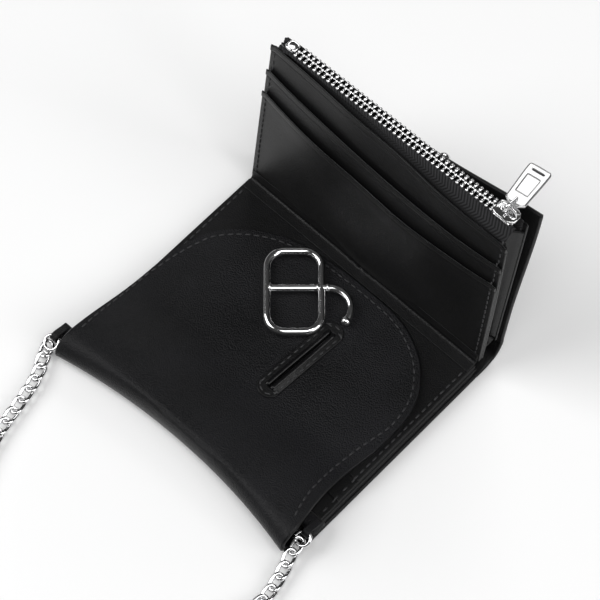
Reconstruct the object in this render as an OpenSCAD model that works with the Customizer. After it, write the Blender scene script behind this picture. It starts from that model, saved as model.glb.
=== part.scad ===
// Chain wallet: a flap, a back panel that lies flat and a folding panel with card pockets and a zipped coin pocket.
// The origin is on the underside of the back panel, at its middle. The flap's fold is at -Y, the spine is at +Y.

/* [Panels] */
// Width of the card panels and of both halves of the wallet
panel_w = 110; // [96:1:134]
// Length of the back panel, from the front of the flap's fold to the spine's axis
back_len = 97; // [80:1:118]
// Height of the folding panel's outer shell above the spine's axis
shell_h = 77; // [74:0.5:80]
// How far the outer shell stands out past the card panels on the side that opens
mouth_out = 1.5; // [1:0.5:5]
// Lean of the folding panel past upright, in degrees
lean = 7.3; // [0:0.1:20]

/* [Leather] */
// Thickness of the outer leather
shell_t = 1.4; // [1:0.1:2]
// Thickness of the lining of the note space
bill_lining_t = 0.5; // [0.3:0.1:0.8]
// Thickness of a card pocket's leather
pocket_t = 0.7; // [0.5:0.1:1]
// Thickness of the base that the card pockets are sewn to
base_t = 0.8; // [0.5:0.1:1.2]
// Free height of the note space in the back panel
bill_gap = 1.2; // [0.8:0.1:3]
// Width of a sewn edge
seam_w = 3; // [2:0.5:5]

/* [Card pockets] */
// Number of card pockets on the back panel
back_pockets = 3; // [3]
// Distance from the fold's front to the edge of the lowest pocket on the back panel
back_pocket_start = 15.2; // [12:0.1:30]
// Distance between one pocket's edge and the next on the back panel
back_pocket_step = 10; // [6:0.5:12]
// Height of the lower card pocket's edge on the folding panel
lower_edge = 53.5; // [40:0.5:56]
// Height of the upper card pocket's edge on the folding panel
upper_edge = 65; // [58:0.5:70]

/* [Flap] */
// Width of the flap
flap_w = 108; // [90:1:112]
// Length of the flap, from the front of its fold to its tip
flap_len = 91; // [80:1:94]
// How far the flap lies towards the closed side of the wallet
flap_shift = 3.5; // [0:0.5:4]
// Radius of the flap's two round corners
flap_corner_r = 42; // [20:1:46]
// Thickness of the flap's outer leather
flap_outer_t = 1.2; // [0.8:0.1:2]
// Thickness of the flap's lining
flap_lining_t = 0.8; // [0.5:0.1:1.2]
// Outside radius of the flap's fold
fold_r = 6.5; // [5.5:0.1:9]
// Length over which the flap comes down from its fold
fold_run = 34; // [25:1:40]
// Clearance between soft pieces that move against each other
soft_gap = 0.3; // [0.2:0.1:0.6]

/* [Closure] */
// Distance of the closing stud and its slot from the middle of the wallet
closure_x = 13.5; // [5:0.5:20]
// Length of the slot in the flap
slot_len = 30; // [20:1:36]
// Width of the window that the slot's two welts fill
slot_window_w = 5; // [4:0.5:7]
// Free width between the welts
slot_gap = 1.5; // [1:0.1:2]
// Distance from the fold's front to the near end of the slot
slot_start = 39; // [36:0.5:48]
// Diameter of the stud's ball
stud_ball_d = 5; // [4:0.1:6]
// Distance of the stud below the outer shell's edge
stud_drop = 10; // [4:0.5:12]

/* [Ornament] */
// Diameter of the ornament's rod
rod_d = 2.9; // [2:0.1:4]
// Width of the ornament's frame between rod centres
frame_w = 19.4; // [16:0.1:24]
// Height of the ornament's frame between rod centres
frame_h = 32; // [26:0.5:36]
// Corner radius of the frame at the rod's centre
frame_corner_r = 6.5; // [5:0.5:8]
// Turn of the ornament on the flap, in degrees
ornament_turn = 43.3; // [0:1:90]
// Clear height between the flap and the rod
ornament_lift = 0.9; // [0.5:0.1:2]

/* [Zip] */
// Distance between one tooth and the next on one side
tooth_pitch = 2.14; // [2:0.02:2.6]
// Number of teeth on each side
teeth = 43; // [36:1:44]
// Height of the teeth above the spine's axis
zip_z = 80.6; // [80:0.1:84]
// Turn of the zip and the rear wall away from the front wall, in degrees
zip_splay = 0.7; // [0:0.05:2]
// Length of the slider
slider_l = 9; // [7:0.5:11]
// Length of the puller
puller_l = 18.6; // [12:0.1:24]
// Width of the puller's free end
puller_w = 8.6; // [6:0.1:11]
// Droop of the puller below the panel's square, in degrees
puller_droop = 9; // [0:1:12]
// Turn of the puller about the link, in degrees
puller_turn = 10; // [-20:1:30]

/* [Chain] */
// Outside diameter of the tube that holds the chain
chain_d = 5; // [4.4:0.1:6]
// Outside radius of the coiled chain
coil_r = 34; // [30:1:40]
// Height of the coiled chain
coil_h = 10.6; // [8:0.1:12]
// Diameter of the wire of a chain ring
ring_wire_d = 1.4; // [1.2:0.1:1.6]
// Radius of a chain ring at the wire's centre
ring_r = 2.7; // [2.4:0.1:3.4]
// Tilt of a chain ring below level, in degrees
ring_tilt = 26; // [0:1:40]

/* [Hidden] */
$fn = 48;

leather_col = [0.07, 0.07, 0.08];
inner_col = [0.12, 0.12, 0.13];
tape_col = [0.05, 0.05, 0.05];
silver_col = [0.82, 0.82, 0.84];

// Clearance between metal pieces that move against each other
run_gap = 0.3;
// Gap that keeps two stacked faces of one body from sharing a face by rounding
touch = 0.01;

// Height of the spine's axis above the back panel's stack
axis_rise = 0.2;
// Distances from the spine's axis at which the back shell and the layers on it end
spine_lap = 2.5;
stack_gap = 0.4;
// How far a lining or spine stops short of the outer leather at the mouth
mouth_inset = 1;
// Play at the coin pocket's open side, so that its turned strips stay inside the walls
strip_play = 0.1;

// Places along Y and Z
fold_y = -back_len / 2 + fold_r;
fold_z = fold_r;
spine_y = back_len / 2;
bill_z = shell_t + bill_lining_t;
base_z = bill_z + bill_gap;
pocket_z = base_z + base_t;
back_top = pocket_z + back_pockets * pocket_t;
flap_z = back_top + soft_gap;
axis_z = back_top + axis_rise;
flap_t = flap_outer_t + flap_lining_t;
flap_top = flap_z + flap_t;
shell_back_end = spine_y - spine_lap;
stack_end = spine_y - stack_gap;

// Depths in the folding panel, counted back from the spine's axis
card_wall_t = 0.8;
lower_y = 0.2;
upper_y = lower_y + card_wall_t;
coin_front_y = upper_y + card_wall_t;
coin_wall_t = 1;
coin_wall_h = 78.5;
coin_inside_y = coin_front_y + coin_wall_t;
panel_foot = 1;
rear_foot = 5.5;
zip_y = 4.6;
zip_half = 2.1;
zip_setback = 0.5;
rear_y = zip_y + zip_half + zip_setback;
rear_wall_t = 0.9;
rear_wall_h = 79;
rear_lining_gap = 0.5;
shell_y = rear_y + rear_wall_t + rear_lining_gap;
shell_bend_x = 20;
mouth_gap = 2.5;

// Back panel
spine_bend_y = spine_y + 2.5;
spine_r = 9.5;

// Flap
rise_steps = 12;
slot_x = closure_x - flap_shift;
slot_y = -back_len / 2 + slot_start;

// Ornament on the flap
ornament_x = -10;
ornament_y = 23.5;
rod_r = rod_d / 2;
rod_z = flap_top + ornament_lift + rod_r;
bar_v = 1.2;
hook_r = 8;
hook_start = frame_w / 2 + rod_r + 0.9;
hook_turn = 130;
post_spots = [[0, frame_h / 2], [0, -frame_h / 2], [-frame_w / 2, -4], [hook_start + hook_r, bar_v - hook_r]];
post_d = 1.6;
post_sink = 0.25;
washer_d = 5;
washer_t = 0.5;
washer_top = flap_z + flap_lining_t;

// Folding panel
coin_floor_h = 8;
gusset_t = 0.8;
gusset_drop = 4;
shell_right = panel_w / 2 + mouth_out;
shell_foot = 5.7;
stud_post_d = 2;
stud_post_l = 2.2;
stud_base_d = 5;
stud_base_t = 0.6;
ball_sink = 0.4;
stud_washer_t = 0.35;

// Zip
zip_start = 9.5;
zip_x0 = -panel_w / 2 + zip_start;
tape_t = 0.35;
tape_leg = 9;
tape_inset = 2;
tape_turn_h = coin_wall_h + 0.1;
tooth_l = 0.95;
tooth_w = 2.7;
tooth_h = 1.6;
tooth_edge = zip_half;
stop_l = 4.4;
stop_h = 2;
stop_gap = 0.4;
zip_end = zip_x0 + teeth * tooth_pitch;
slider_lap = 3.2;
slider_x = zip_end - slider_lap + slider_l / 2;
top_stop_l = 1.4;
top_stop_w = 1.2;
slider_stop_at = 2.5;
slider_plate_t = 1;
rim_w = 0.9;
slider_half_w = tooth_edge + run_gap + rim_w;
channel_h = tooth_h / 2 + run_gap;
tape_slot = 0.55;
base_half_w = 1.3;
base_trim = 1;
bridge_half = 3.2;
bridge_bar_h = 1.1;
bridge_w = 1.2;
bridge_rise = 2.9;
bridge_post = 1.1;
bridge_z = channel_h + slider_plate_t + bridge_rise;
link_wire_r = 0.5;
link_r = 1.6;
link_reach = 3.7;
puller_t = 1.3;
puller_eye_r = 0.58;
puller_neck_w = 7.6;
puller_slot_w = 1.4;
puller_slot_l = 4.4;
puller_slot_at = puller_l - 3.4;
puller_neck_l = 1.5;
puller_end_trim = 0.6;

// Rings, tabs and chain
tab_w = 2.5;
tab_t = 1.2;
ring_play = 0.55;
tab_wall = 0.8;
tab_hole_r = ring_wire_d / 2 + ring_play;
tab_loop_r = tab_hole_r + tab_wall;
tab_lift = 0.1;
strap_y = 1.9;
strap_l = 4;
strap_in = 5;
tab_z = pocket_z + tab_t / 2 + tab_lift;
left_tab = [-flap_w / 2 - flap_shift - 3.7, fold_y - 3.3];
right_tab = [panel_w / 2 + 0.5, fold_y + 2.6];
right_rise = 2.7;
tube_sides = 10;
chain_r = chain_d / 2;
coil_x = 86;
coil_y = -106;
// The chain's route along the ground, from each ring to the coil
left_route = [
    [left_tab[0] + 1.7, left_tab[1] - 6.2, 2.6], [left_tab[0] + 5.8, left_tab[1] - 15.7, 2.6],
    [left_tab[0] + 8.4, left_tab[1] - 26.7, 2.6], [-50.2, -84, 2.6], [-46, -96, 2.6],
    [-39, -108, 2.6], [-29, -119, 2.6], [-17, -129, 2.6], [-3, -137.5, 2.6], [12, -143, 2.6],
    [27, -145.5, 2.6], [42, -146, 2.6], [57, -144.5, 2.6], [72, -140.5, 2.6]
];
right_route = [
    [right_tab[0] + 0.2, right_tab[1] - 6.1, 2.6], [right_tab[0] + 2.4, right_tab[1] - 14, 2.6], [60.4, -67, 2.6], [58.6, -78, 4.2], [56, -89, 6.8]
];

module in_panel() {
    translate([0, spine_y, axis_z])
        rotate([-lean, 0, 0])
            children();
}

// The zip and the coin pocket's rear wall turn about the closed end of the panel
module in_splay() {
    translate([-panel_w / 2, 0, 0])
        rotate([0, 0, zip_splay])
            translate([panel_w / 2, 0, 0])
                children();
}

module plate(x0, x1, y0, y1, z0, z1) {
    translate([x0, y0, z0])
        cube([x1 - x0, y1 - y0, z1 - z0]);
}

// A profile drawn in Y and Z, made into a bar along X
module along_x(x0, x1) {
    translate([x0, 0, 0])
        rotate([90, 0, 90])
            linear_extrude(height = x1 - x0)
                children();
}

/* Back panel */

module back_shell() {
    color(leather_col)
        plate(-panel_w / 2, panel_w / 2 + mouth_out, fold_y, shell_back_end, 0, shell_t);
}

module back_bill_lining() {
    color(inner_col)
        plate(-panel_w / 2, panel_w / 2 + mouth_out - mouth_inset, fold_y + seam_w, stack_end, shell_t, bill_z);
}

module back_edge_seam() {
    color(inner_col) {
        plate(-panel_w / 2, -panel_w / 2 + seam_w, fold_y + seam_w, stack_end, bill_z, base_z);
        plate(-panel_w / 2, panel_w / 2, fold_y, fold_y + seam_w, shell_t, base_z);
    }
}

module back_card_base() {
    color(inner_col)
        plate(-panel_w / 2, panel_w / 2, fold_y, stack_end, base_z, pocket_z);
}

// Pocket 1 has the lowest edge and lies deepest, pocket 3 lies on top
module back_card_pocket(number) {
    start = -back_len / 2 + back_pocket_start + (number - 1) * back_pocket_step;
    low = pocket_z + (number - 1) * pocket_t;
    color(inner_col)
        plate(-panel_w / 2, panel_w / 2, start, stack_end, low, low + pocket_t);
}

// Half ring of leather that carries the outer shell over into the flap
module flap_fold() {
    color(leather_col)
        along_x(-flap_w / 2 - flap_shift, flap_w / 2 - flap_shift)
            translate([fold_y, fold_z])
                intersection() {
                    difference() {
                        circle(r = fold_r);
                        circle(r = fold_r - flap_t);
                    }
                    translate([-2 * fold_r, -fold_r])
                        square([2 * fold_r, 2 * fold_r]);
                }
}

// A straight stretch and a quarter ring, from the back panel's end up behind the folding panel
module spine_band(radius, thickness, low, start) {
    along_x(-panel_w / 2, panel_w / 2 + mouth_out - mouth_inset) {
        translate([start, low])
            square([spine_bend_y - start, thickness]);
        translate([spine_bend_y, low + radius])
            intersection() {
                difference() {
                    circle(r = radius);
                    circle(r = radius - thickness);
                }
                translate([0, -radius])
                    square([radius, radius]);
            }
    }
}

module spine_shell() {
    color(leather_col)
        spine_band(spine_r, shell_t, 0, shell_back_end);
}

module spine_lining() {
    color(inner_col)
        spine_band(spine_r - shell_t, bill_lining_t, shell_t, stack_end);
}

/* Flap */

// Height of the flap's underside at a distance past its fold, easing down to the flat part
function flap_rise(run) =
    run >= fold_run ? 0 : (2 * fold_r - flap_top) * (1 + cos(180 * run / fold_run)) / 2;

// Section through one layer of the flap, from its fold to past its tip
module flap_section(low, thickness) {
    runs = [for (i = [0 : rise_steps]) i * fold_run / rise_steps];
    under = [for (run = runs) [fold_y + run, flap_z + low + flap_rise(run)]];
    over = [for (i = [rise_steps : -1 : 0]) [fold_y + runs[i], flap_z + low + thickness + flap_rise(runs[i])]];
    polygon(concat(under, [[spine_y, flap_z + low], [spine_y, flap_z + low + thickness]], over));
}

module flap_outline() {
    side = flap_w / 2;
    tip = -back_len / 2 + flap_len;
    translate([-flap_shift, 0]) {
        translate([-side, fold_y])
            square([flap_w, tip - flap_corner_r - fold_y]);
        translate([flap_corner_r - side, fold_y])
            square([flap_w - 2 * flap_corner_r, tip - fold_y]);
        for (s = [-1, 1])
            translate([s * (side - flap_corner_r), tip - flap_corner_r])
                circle(r = flap_corner_r, $fn = 96);
    }
}

module flap_layer(low, thickness) {
    difference() {
        intersection() {
            along_x(-panel_w, panel_w)
                flap_section(low, thickness);
            linear_extrude(height = 4 * fold_r)
                flap_outline();
        }
        translate([slot_x - slot_window_w / 2, slot_y, 0])
            cube([slot_window_w, slot_len, 4 * fold_r]);
    }
}

module flap_outer() {
    color(leather_col)
        difference() {
            flap_layer(flap_lining_t, flap_outer_t);
            post_holes();
        }
}

module flap_lining() {
    color(inner_col)
        difference() {
            flap_layer(0, flap_lining_t);
            washer_shapes(touch);
        }
}

// Two folded strips fill the window from its sides and leave the slot between them
module slot_welts() {
    welt_w = (slot_window_w - slot_gap) / 2;
    color(leather_col)
        for (s = [-1, 1])
            translate([slot_x + s * (slot_gap + welt_w) / 2 - welt_w / 2, slot_y, flap_z])
                cube([welt_w, slot_len, flap_t]);
}

/* Ornament on the flap */

module in_ornament() {
    translate([ornament_x, ornament_y, rod_z])
        rotate([0, 0, ornament_turn])
            children();
}

module rod(from, to) {
    run = to - from;
    translate(from)
        rotate([0, 90, atan2(run[1], run[0])])
            cylinder(r = rod_r, h = norm(run));
}

module rod_bend(centre, radius, start, turn) {
    translate(centre)
        rotate([0, 0, start])
            rotate_extrude(angle = turn)
                translate([radius, 0])
                    circle(r = rod_r, $fn = 32);
}

module ornament_frame() {
    u = frame_w / 2;
    v = frame_h / 2;
    r = frame_corner_r;
    color(silver_col)
        in_ornament() {
            for (s = [-1, 1]) {
                rod([r - u, s * v, 0], [u - r, s * v, 0]);
                rod([s * u, r - v, 0], [s * u, v - r, 0]);
            }
            rod_bend([u - r, v - r, 0], r, 0, 90);
            rod_bend([r - u, v - r, 0], r, 90, 90);
            rod_bend([r - u, r - v, 0], r, 180, 90);
            rod_bend([u - r, r - v, 0], r, 270, 90);
        }
}

module ornament_bar() {
    color(silver_col)
        in_ornament()
            rod([-frame_w / 2, bar_v, 0], [hook_start, bar_v, 0]);
}

module ornament_hook() {
    end = 90 - hook_turn;
    color(silver_col)
        in_ornament() {
            rod_bend([hook_start, bar_v - hook_r, 0], hook_r, end, hook_turn);
            translate([hook_start + hook_r * cos(end), bar_v - hook_r + hook_r * sin(end), 0])
                sphere(r = rod_r * 1.25, $fn = 32);
        }
}

module ornament_posts() {
    color(silver_col)
        in_ornament()
            for (spot = post_spots)
                translate([spot[0], spot[1], washer_top - rod_z])
                    cylinder(d = post_d, h = flap_top - washer_top + ornament_lift + post_sink);
}

module washer_shapes(play) {
    in_ornament()
        for (spot = post_spots)
            translate([spot[0], spot[1], washer_top - rod_z - washer_t - play])
                cylinder(d = washer_d + 2 * play, h = washer_t + 2 * play);
}

module post_holes() {
    in_ornament()
        for (spot = post_spots)
            translate([spot[0], spot[1], washer_top - rod_z - touch])
                cylinder(d = post_d + 2 * touch, h = flap_t);
}

// The washers lie between the two layers of the flap, in recesses of the lining
module ornament_washers() {
    color(silver_col)
        washer_shapes(0);
}

/* Folding panel */

module panel_wall(y, thickness, top, foot) {
    in_panel()
        plate(-panel_w / 2, panel_w / 2, y, y + thickness, foot, top);
}

module card_pocket_lower() {
    color(inner_col)
        panel_wall(lower_y, card_wall_t, lower_edge, panel_foot);
}

module card_pocket_upper() {
    color(inner_col)
        panel_wall(upper_y, card_wall_t, upper_edge, panel_foot);
}

module coin_front_wall() {
    color(inner_col)
        panel_wall(coin_front_y, coin_wall_t, coin_wall_h, panel_foot);
}

module coin_rear_wall() {
    color(inner_col)
        in_panel()
            in_splay()
                plate(-panel_w / 2, panel_w / 2, rear_y, rear_y + rear_wall_t, rear_foot, rear_wall_h);
}

// Plan of the strip between the coin pocket's two walls, from x0 to x1
module pocket_strip(x0, x1, z0, z1) {
    slope = tan(zip_splay);
    near = rear_y - touch + (x0 + panel_w / 2) * slope;
    far = rear_y - touch + (x1 + panel_w / 2) * slope;
    in_panel()
        translate([0, 0, z0])
            linear_extrude(height = z1 - z0)
                polygon([[x0, coin_inside_y], [x1, coin_inside_y], [x1, far], [x0, near]]);
}

module coin_side_left() {
    color(inner_col)
        pocket_strip(-panel_w / 2, -panel_w / 2 + gusset_t, coin_floor_h, coin_wall_h - gusset_drop);
}

module coin_side_right() {
    color(inner_col)
        pocket_strip(panel_w / 2 - gusset_t - strip_play, panel_w / 2 - strip_play, coin_floor_h, coin_wall_h - gusset_drop);
}

module coin_floor() {
    color(inner_col)
        pocket_strip(-panel_w / 2, panel_w / 2 - strip_play, rear_foot, coin_floor_h);
}

// The shell lies flat up to a line from its foot at the mouth to its edge, and turns back past that line
module front_shell() {
    color(leather_col)
        in_panel()
            in_splay() {
                translate([0, shell_y + shell_t, 0])
                    rotate([90, 0, 0])
                        linear_extrude(height = shell_t)
                            polygon([
                                [-panel_w / 2, shell_foot], [shell_right, shell_foot],
                                [shell_bend_x, shell_h], [-panel_w / 2, shell_h]
                            ]);
                mouth_corner();
            }
}

// The three-sided corner of the shell that stands away from the rear wall
module mouth_corner() {
    inner = [
        [shell_right, shell_y, shell_foot],
        [shell_right, shell_y + mouth_gap, shell_h],
        [shell_bend_x, shell_y, shell_h]
    ];
    outer = [for (p = inner) p + [0, shell_t, 0]];
    polyhedron(concat(inner, outer), [[2, 1, 0], [3, 4, 5], [1, 4, 3, 0], [2, 5, 4, 1], [0, 3, 5, 2]]);
}

// Sewn strip that closes the note space on the side away from its mouth
module front_edge_seam() {
    color(inner_col)
        in_panel()
            in_splay()
                plate(-panel_w / 2 + touch, -panel_w / 2 + seam_w, rear_y + rear_wall_t, shell_y,
                    shell_foot, shell_h - 1);
}

module at_stud() {
    in_panel()
        in_splay()
            translate([closure_x, shell_y + shell_t, shell_h - stud_drop])
                rotate([-90, 0, 0])
                    children();
}

module closing_stud() {
    ball_z = stud_base_t + stud_post_l + stud_ball_d / 2 - ball_sink;
    color(silver_col)
        at_stud() {
            cylinder(d = stud_base_d, h = stud_base_t);
            cylinder(d = stud_post_d, h = ball_z);
            translate([0, 0, ball_z])
                sphere(d = stud_ball_d);
        }
}

module stud_washer() {
    color(silver_col)
        at_stud()
            translate([0, 0, -shell_t - stud_washer_t])
                cylinder(d = stud_base_d, h = stud_washer_t);
}

/* Zip */

// The front tape is sewn inside the front wall and slopes up to its teeth
module zip_tape_front() {
    x0 = -panel_w / 2 + tape_inset;
    x1 = panel_w / 2 - tape_inset;
    color(tape_col)
        in_panel() {
            plate(x0, x1, coin_inside_y + touch, coin_inside_y + tape_t, coin_wall_h - tape_leg, tape_turn_h);
            hull() {
                plate(x0, x1, coin_inside_y + touch, coin_inside_y + tape_t, coin_wall_h + touch, tape_turn_h);
                in_splay()
                    plate(x0, x1, zip_y - tooth_edge - tape_t, zip_y - tooth_edge - touch,
                        zip_z - tape_t / 2, zip_z + tape_t / 2);
            }
        }
}

module zip_tape_rear() {
    x0 = -panel_w / 2 + tape_inset;
    x1 = panel_w / 2 - tape_inset;
    color(tape_col)
        in_panel()
            in_splay() {
                plate(x0, x1, rear_y - tape_t, rear_y - touch, rear_wall_h - tape_leg, zip_z + tape_t / 2);
                plate(x0, x1, zip_y + tooth_edge + touch, rear_y - touch, zip_z - tape_t / 2, zip_z + tape_t / 2);
            }
}

module tooth_row(y, shift) {
    in_panel()
        in_splay()
            for (i = [0 : teeth - 1])
                translate([zip_x0 + shift + i * tooth_pitch, y, zip_z - tooth_h / 2])
                    cube([tooth_l, tooth_w, tooth_h]);
}

module zip_teeth_front() {
    color(silver_col)
        tooth_row(zip_y - tooth_edge, 0);
}

module zip_teeth_rear() {
    color(silver_col)
        tooth_row(zip_y + tooth_edge - tooth_w, tooth_pitch / 2);
}

module zip_bottom_stop() {
    color(silver_col)
        in_panel()
            in_splay()
                plate(zip_x0 - stop_l - stop_gap, zip_x0 - stop_gap, zip_y - tooth_edge, zip_y + tooth_edge,
                    zip_z - stop_h / 2, zip_z + stop_h / 2);
}

module zip_top_stops() {
    x0 = slider_x + slider_stop_at;
    color(silver_col)
        in_panel()
            in_splay()
                for (y = [zip_y - tooth_edge, zip_y + tooth_edge - top_stop_w])
                    plate(x0, x0 + top_stop_l, y, y + top_stop_w, zip_z - tooth_h / 2, zip_z + tooth_h / 2);
}

module in_slider() {
    in_panel()
        in_splay()
            translate([slider_x, zip_y, zip_z])
                children();
}

// Plan of a slider plate: an eight-sided shape, wider where the teeth part
module slider_plan() {
    a = slider_l / 2;
    b = slider_half_w;
    polygon([[-a, -b + 1], [-a + 1.8, -b], [a - 2, -b], [a, -b + 1.6], [a, b - 1.6], [a - 2, b], [-a + 1.8, b], [-a, b - 1]]);
}

// The slider's upper plate with the two rims that hold the teeth in its channel
module slider_shell() {
    translate([0, 0, channel_h])
        linear_extrude(height = slider_plate_t)
            slider_plan();
    translate([0, 0, tape_slot])
        linear_extrude(height = channel_h - tape_slot + touch)
            difference() {
                slider_plan();
                square([2 * slider_l, 2 * (tooth_edge + run_gap)], center = true);
            }
}

module slider_top() {
    foot = channel_h + slider_plate_t - touch;
    color(silver_col)
        in_slider() {
            slider_shell();
            for (s = [-1, 1])
                translate([s * (bridge_half - bridge_post / 2), 0, foot + (bridge_z - foot) / 2])
                    cube([bridge_post, bridge_w, bridge_z - foot], center = true);
            translate([0, 0, bridge_z])
                cube([2 * bridge_half, bridge_w, bridge_bar_h], center = true);
        }
}

// The lower plate runs between the two tapes, under the teeth
module slider_base() {
    a = slider_l / 2;
    color(silver_col)
        in_slider()
            plate(-a, a - base_trim, -base_half_w, base_half_w, -channel_h - slider_plate_t, -channel_h);
}

// The link's own frame: X along the bridge's bar, Y towards the puller
module in_link() {
    in_slider()
        translate([0, 0, bridge_z])
            rotate([-puller_droop, 0, 0])
                children();
}

// A wire loop round the bridge's bar, with a straight far side that is the puller's pin
module puller_link() {
    color(silver_col)
        in_link()
            rotate([90, 0, 90]) {
                rotate([0, 0, 90])
                    rotate_extrude(angle = 180)
                        translate([link_r, 0])
                            circle(r = link_wire_r, $fn = 24);
                for (s = [-1, 1])
                    translate([0, s * link_r, 0])
                        rotate([0, 90, 0])
                            cylinder(r = link_wire_r, h = link_reach);
                translate([link_reach, -link_r, 0])
                    rotate([-90, 0, 0])
                        cylinder(r = link_wire_r, h = 2 * link_r);
                for (s = [-1, 1])
                    translate([link_reach, s * link_r, 0])
                        sphere(r = link_wire_r, $fn = 24);
            }
}

// Flat tapered tab with a round free end, a slot near it and an eye at its narrow end
module zip_puller() {
    tip = puller_l - puller_w / 2;
    color(silver_col)
        in_link()
            translate([0, link_reach, 0])
                rotate([0, 0, puller_turn])
                    difference() {
                        translate([0, 0, -puller_t / 2])
                            linear_extrude(height = puller_t)
                                polygon([
                                    [-puller_neck_w / 2, -0.9], [-puller_neck_w / 2 + 0.8, -puller_neck_l],
                                    [puller_neck_w / 2 - 0.8, -puller_neck_l], [puller_neck_w / 2, -0.9],
                                    [puller_w / 2, tip], [puller_w / 2 - 1.6, puller_l - 1.2],
                                    [puller_w / 2 - 3, puller_l - puller_end_trim], [3 - puller_w / 2, puller_l - puller_end_trim],
                                    [1.6 - puller_w / 2, puller_l - 1.2], [-puller_w / 2, tip]
                                ]);
                        translate([0, 0, -puller_t])
                            cylinder(r = puller_eye_r, h = 2 * puller_t);
                        for (s = [-1, 1])
                            translate([s * (puller_slot_l - puller_slot_w) / 2, puller_slot_at, -puller_t])
                                cylinder(d = puller_slot_w, h = 2 * puller_t);
                        translate([-(puller_slot_l - puller_slot_w) / 2, puller_slot_at - puller_slot_w / 2, -puller_t])
                            cube([puller_slot_l - puller_slot_w, puller_slot_w, 2 * puller_t]);
                    }
}

/* Rings, tabs and chain */

// A leather loop round the ring, and the strap that sews it down on the card base
module ring_tab(place, side, rise = 0) {
    inside = side * (panel_w / 2 - strap_in);
    edge = place[0] + side * tab_w / 2;
    color(leather_col)
        translate([0, 0, tab_z + rise])
            difference() {
                union() {
                    translate([place[0] - tab_w / 2, place[1], 0])
                        rotate([0, 90, 0])
                            cylinder(r = tab_loop_r, h = tab_w);
                    translate([place[0] - tab_w / 2, place[1], -tab_t / 2])
                        cube([tab_w, strap_y + strap_l, tab_t]);
                    translate([min(inside, edge), place[1] + strap_y, -tab_t / 2 - rise])
                        cube([abs(edge - inside), strap_l, tab_t + rise]);
                }
                translate([place[0] - tab_w, place[1], 0])
                    rotate([0, 90, 0])
                        cylinder(r = tab_hole_r, h = 2 * tab_w);
            }
}

module ring_tab_left() {
    ring_tab(left_tab, -1);
}

module ring_tab_right() {
    ring_tab(right_tab, 1, right_rise);
}

module chain_ring(place, rise = 0) {
    color(silver_col)
        translate([place[0], place[1], tab_z + rise])
            rotate([ring_tilt, 0, 0])
                translate([0, -ring_r, 0])
                    rotate_extrude()
                        translate([ring_r, 0])
                            circle(d = ring_wire_d, $fn = 24);
}

module ring_left() {
    chain_ring(left_tab);
}

module ring_right() {
    chain_ring(right_tab, right_rise);
}

// Points of one ring of the tube, square to the route at point i
function tube_ring(route, i, r) =
    let (
        a = route[max(i - 1, 0)],
        b = route[min(i + 1, len(route) - 1)],
        ahead = (b - a) / norm(b - a),
        across = cross(ahead, [0, 0, 1]) / norm(cross(ahead, [0, 0, 1])),
        up = cross(across, ahead)
    )
    [for (k = [0 : tube_sides - 1])
        route[i] + r * (cos(360 * k / tube_sides) * across + sin(360 * k / tube_sides) * up)];

module tube(route, r) {
    rings = len(route);
    points = [for (i = [0 : rings - 1]) each tube_ring(route, i, r)];
    sides = [for (i = [0 : rings - 2], k = [0 : tube_sides - 1])
        let (a = i * tube_sides + k, b = i * tube_sides + (k + 1) % tube_sides)
        [a, b, b + tube_sides, a + tube_sides]];
    first = [for (k = [tube_sides - 1 : -1 : 0]) k];
    last = [for (k = [0 : tube_sides - 1]) (rings - 1) * tube_sides + k];
    polyhedron(points, concat([first], sides, [last]));
}

module chain_left() {
    color(silver_col)
        tube(left_route, chain_r);
}

module chain_right() {
    color(silver_col)
        tube(right_route, chain_r);
}

module chain_coil() {
    edge = chain_r;
    color(silver_col)
        translate([coil_x, coil_y, 0])
            rotate_extrude($fn = 72) {
                square([coil_r - edge, coil_h]);
                translate([coil_r - edge - touch, edge])
                    square([edge + touch, coil_h - 2 * edge]);
                for (z = [edge, coil_h - edge])
                    translate([coil_r - edge, z])
                        circle(r = edge, $fn = 32);
            }
}

back_shell();
back_bill_lining();
back_edge_seam();
back_card_base();
back_card_pocket(1);  // back_card_pocket_1
back_card_pocket(2);  // back_card_pocket_2
back_card_pocket(3);  // back_card_pocket_3
flap_fold();
spine_shell();
spine_lining();
flap_outer();
flap_lining();
slot_welts();
ornament_frame();
ornament_bar();
ornament_hook();
ornament_posts();
ornament_washers();
card_pocket_lower();
card_pocket_upper();
coin_front_wall();
coin_rear_wall();
coin_side_left();
coin_side_right();
coin_floor();
front_shell();
front_edge_seam();
closing_stud();
stud_washer();
zip_tape_front();
zip_tape_rear();
zip_teeth_front();
zip_teeth_rear();
zip_bottom_stop();
zip_top_stops();
slider_top();
slider_base();
puller_link();
zip_puller();
ring_tab_left();
ring_tab_right();
ring_left();
ring_right();
chain_left();
chain_right();
chain_coil();
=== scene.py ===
"""Visual model of a chain wallet: leather, zip, metal fittings and chain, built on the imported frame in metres."""
import logging
import math
from dataclasses import dataclass, field
from enum import Enum
from typing import Callable, Iterable, Optional, Sequence

import bmesh
import bpy
import numpy as np
from mathutils import Matrix, Vector


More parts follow.
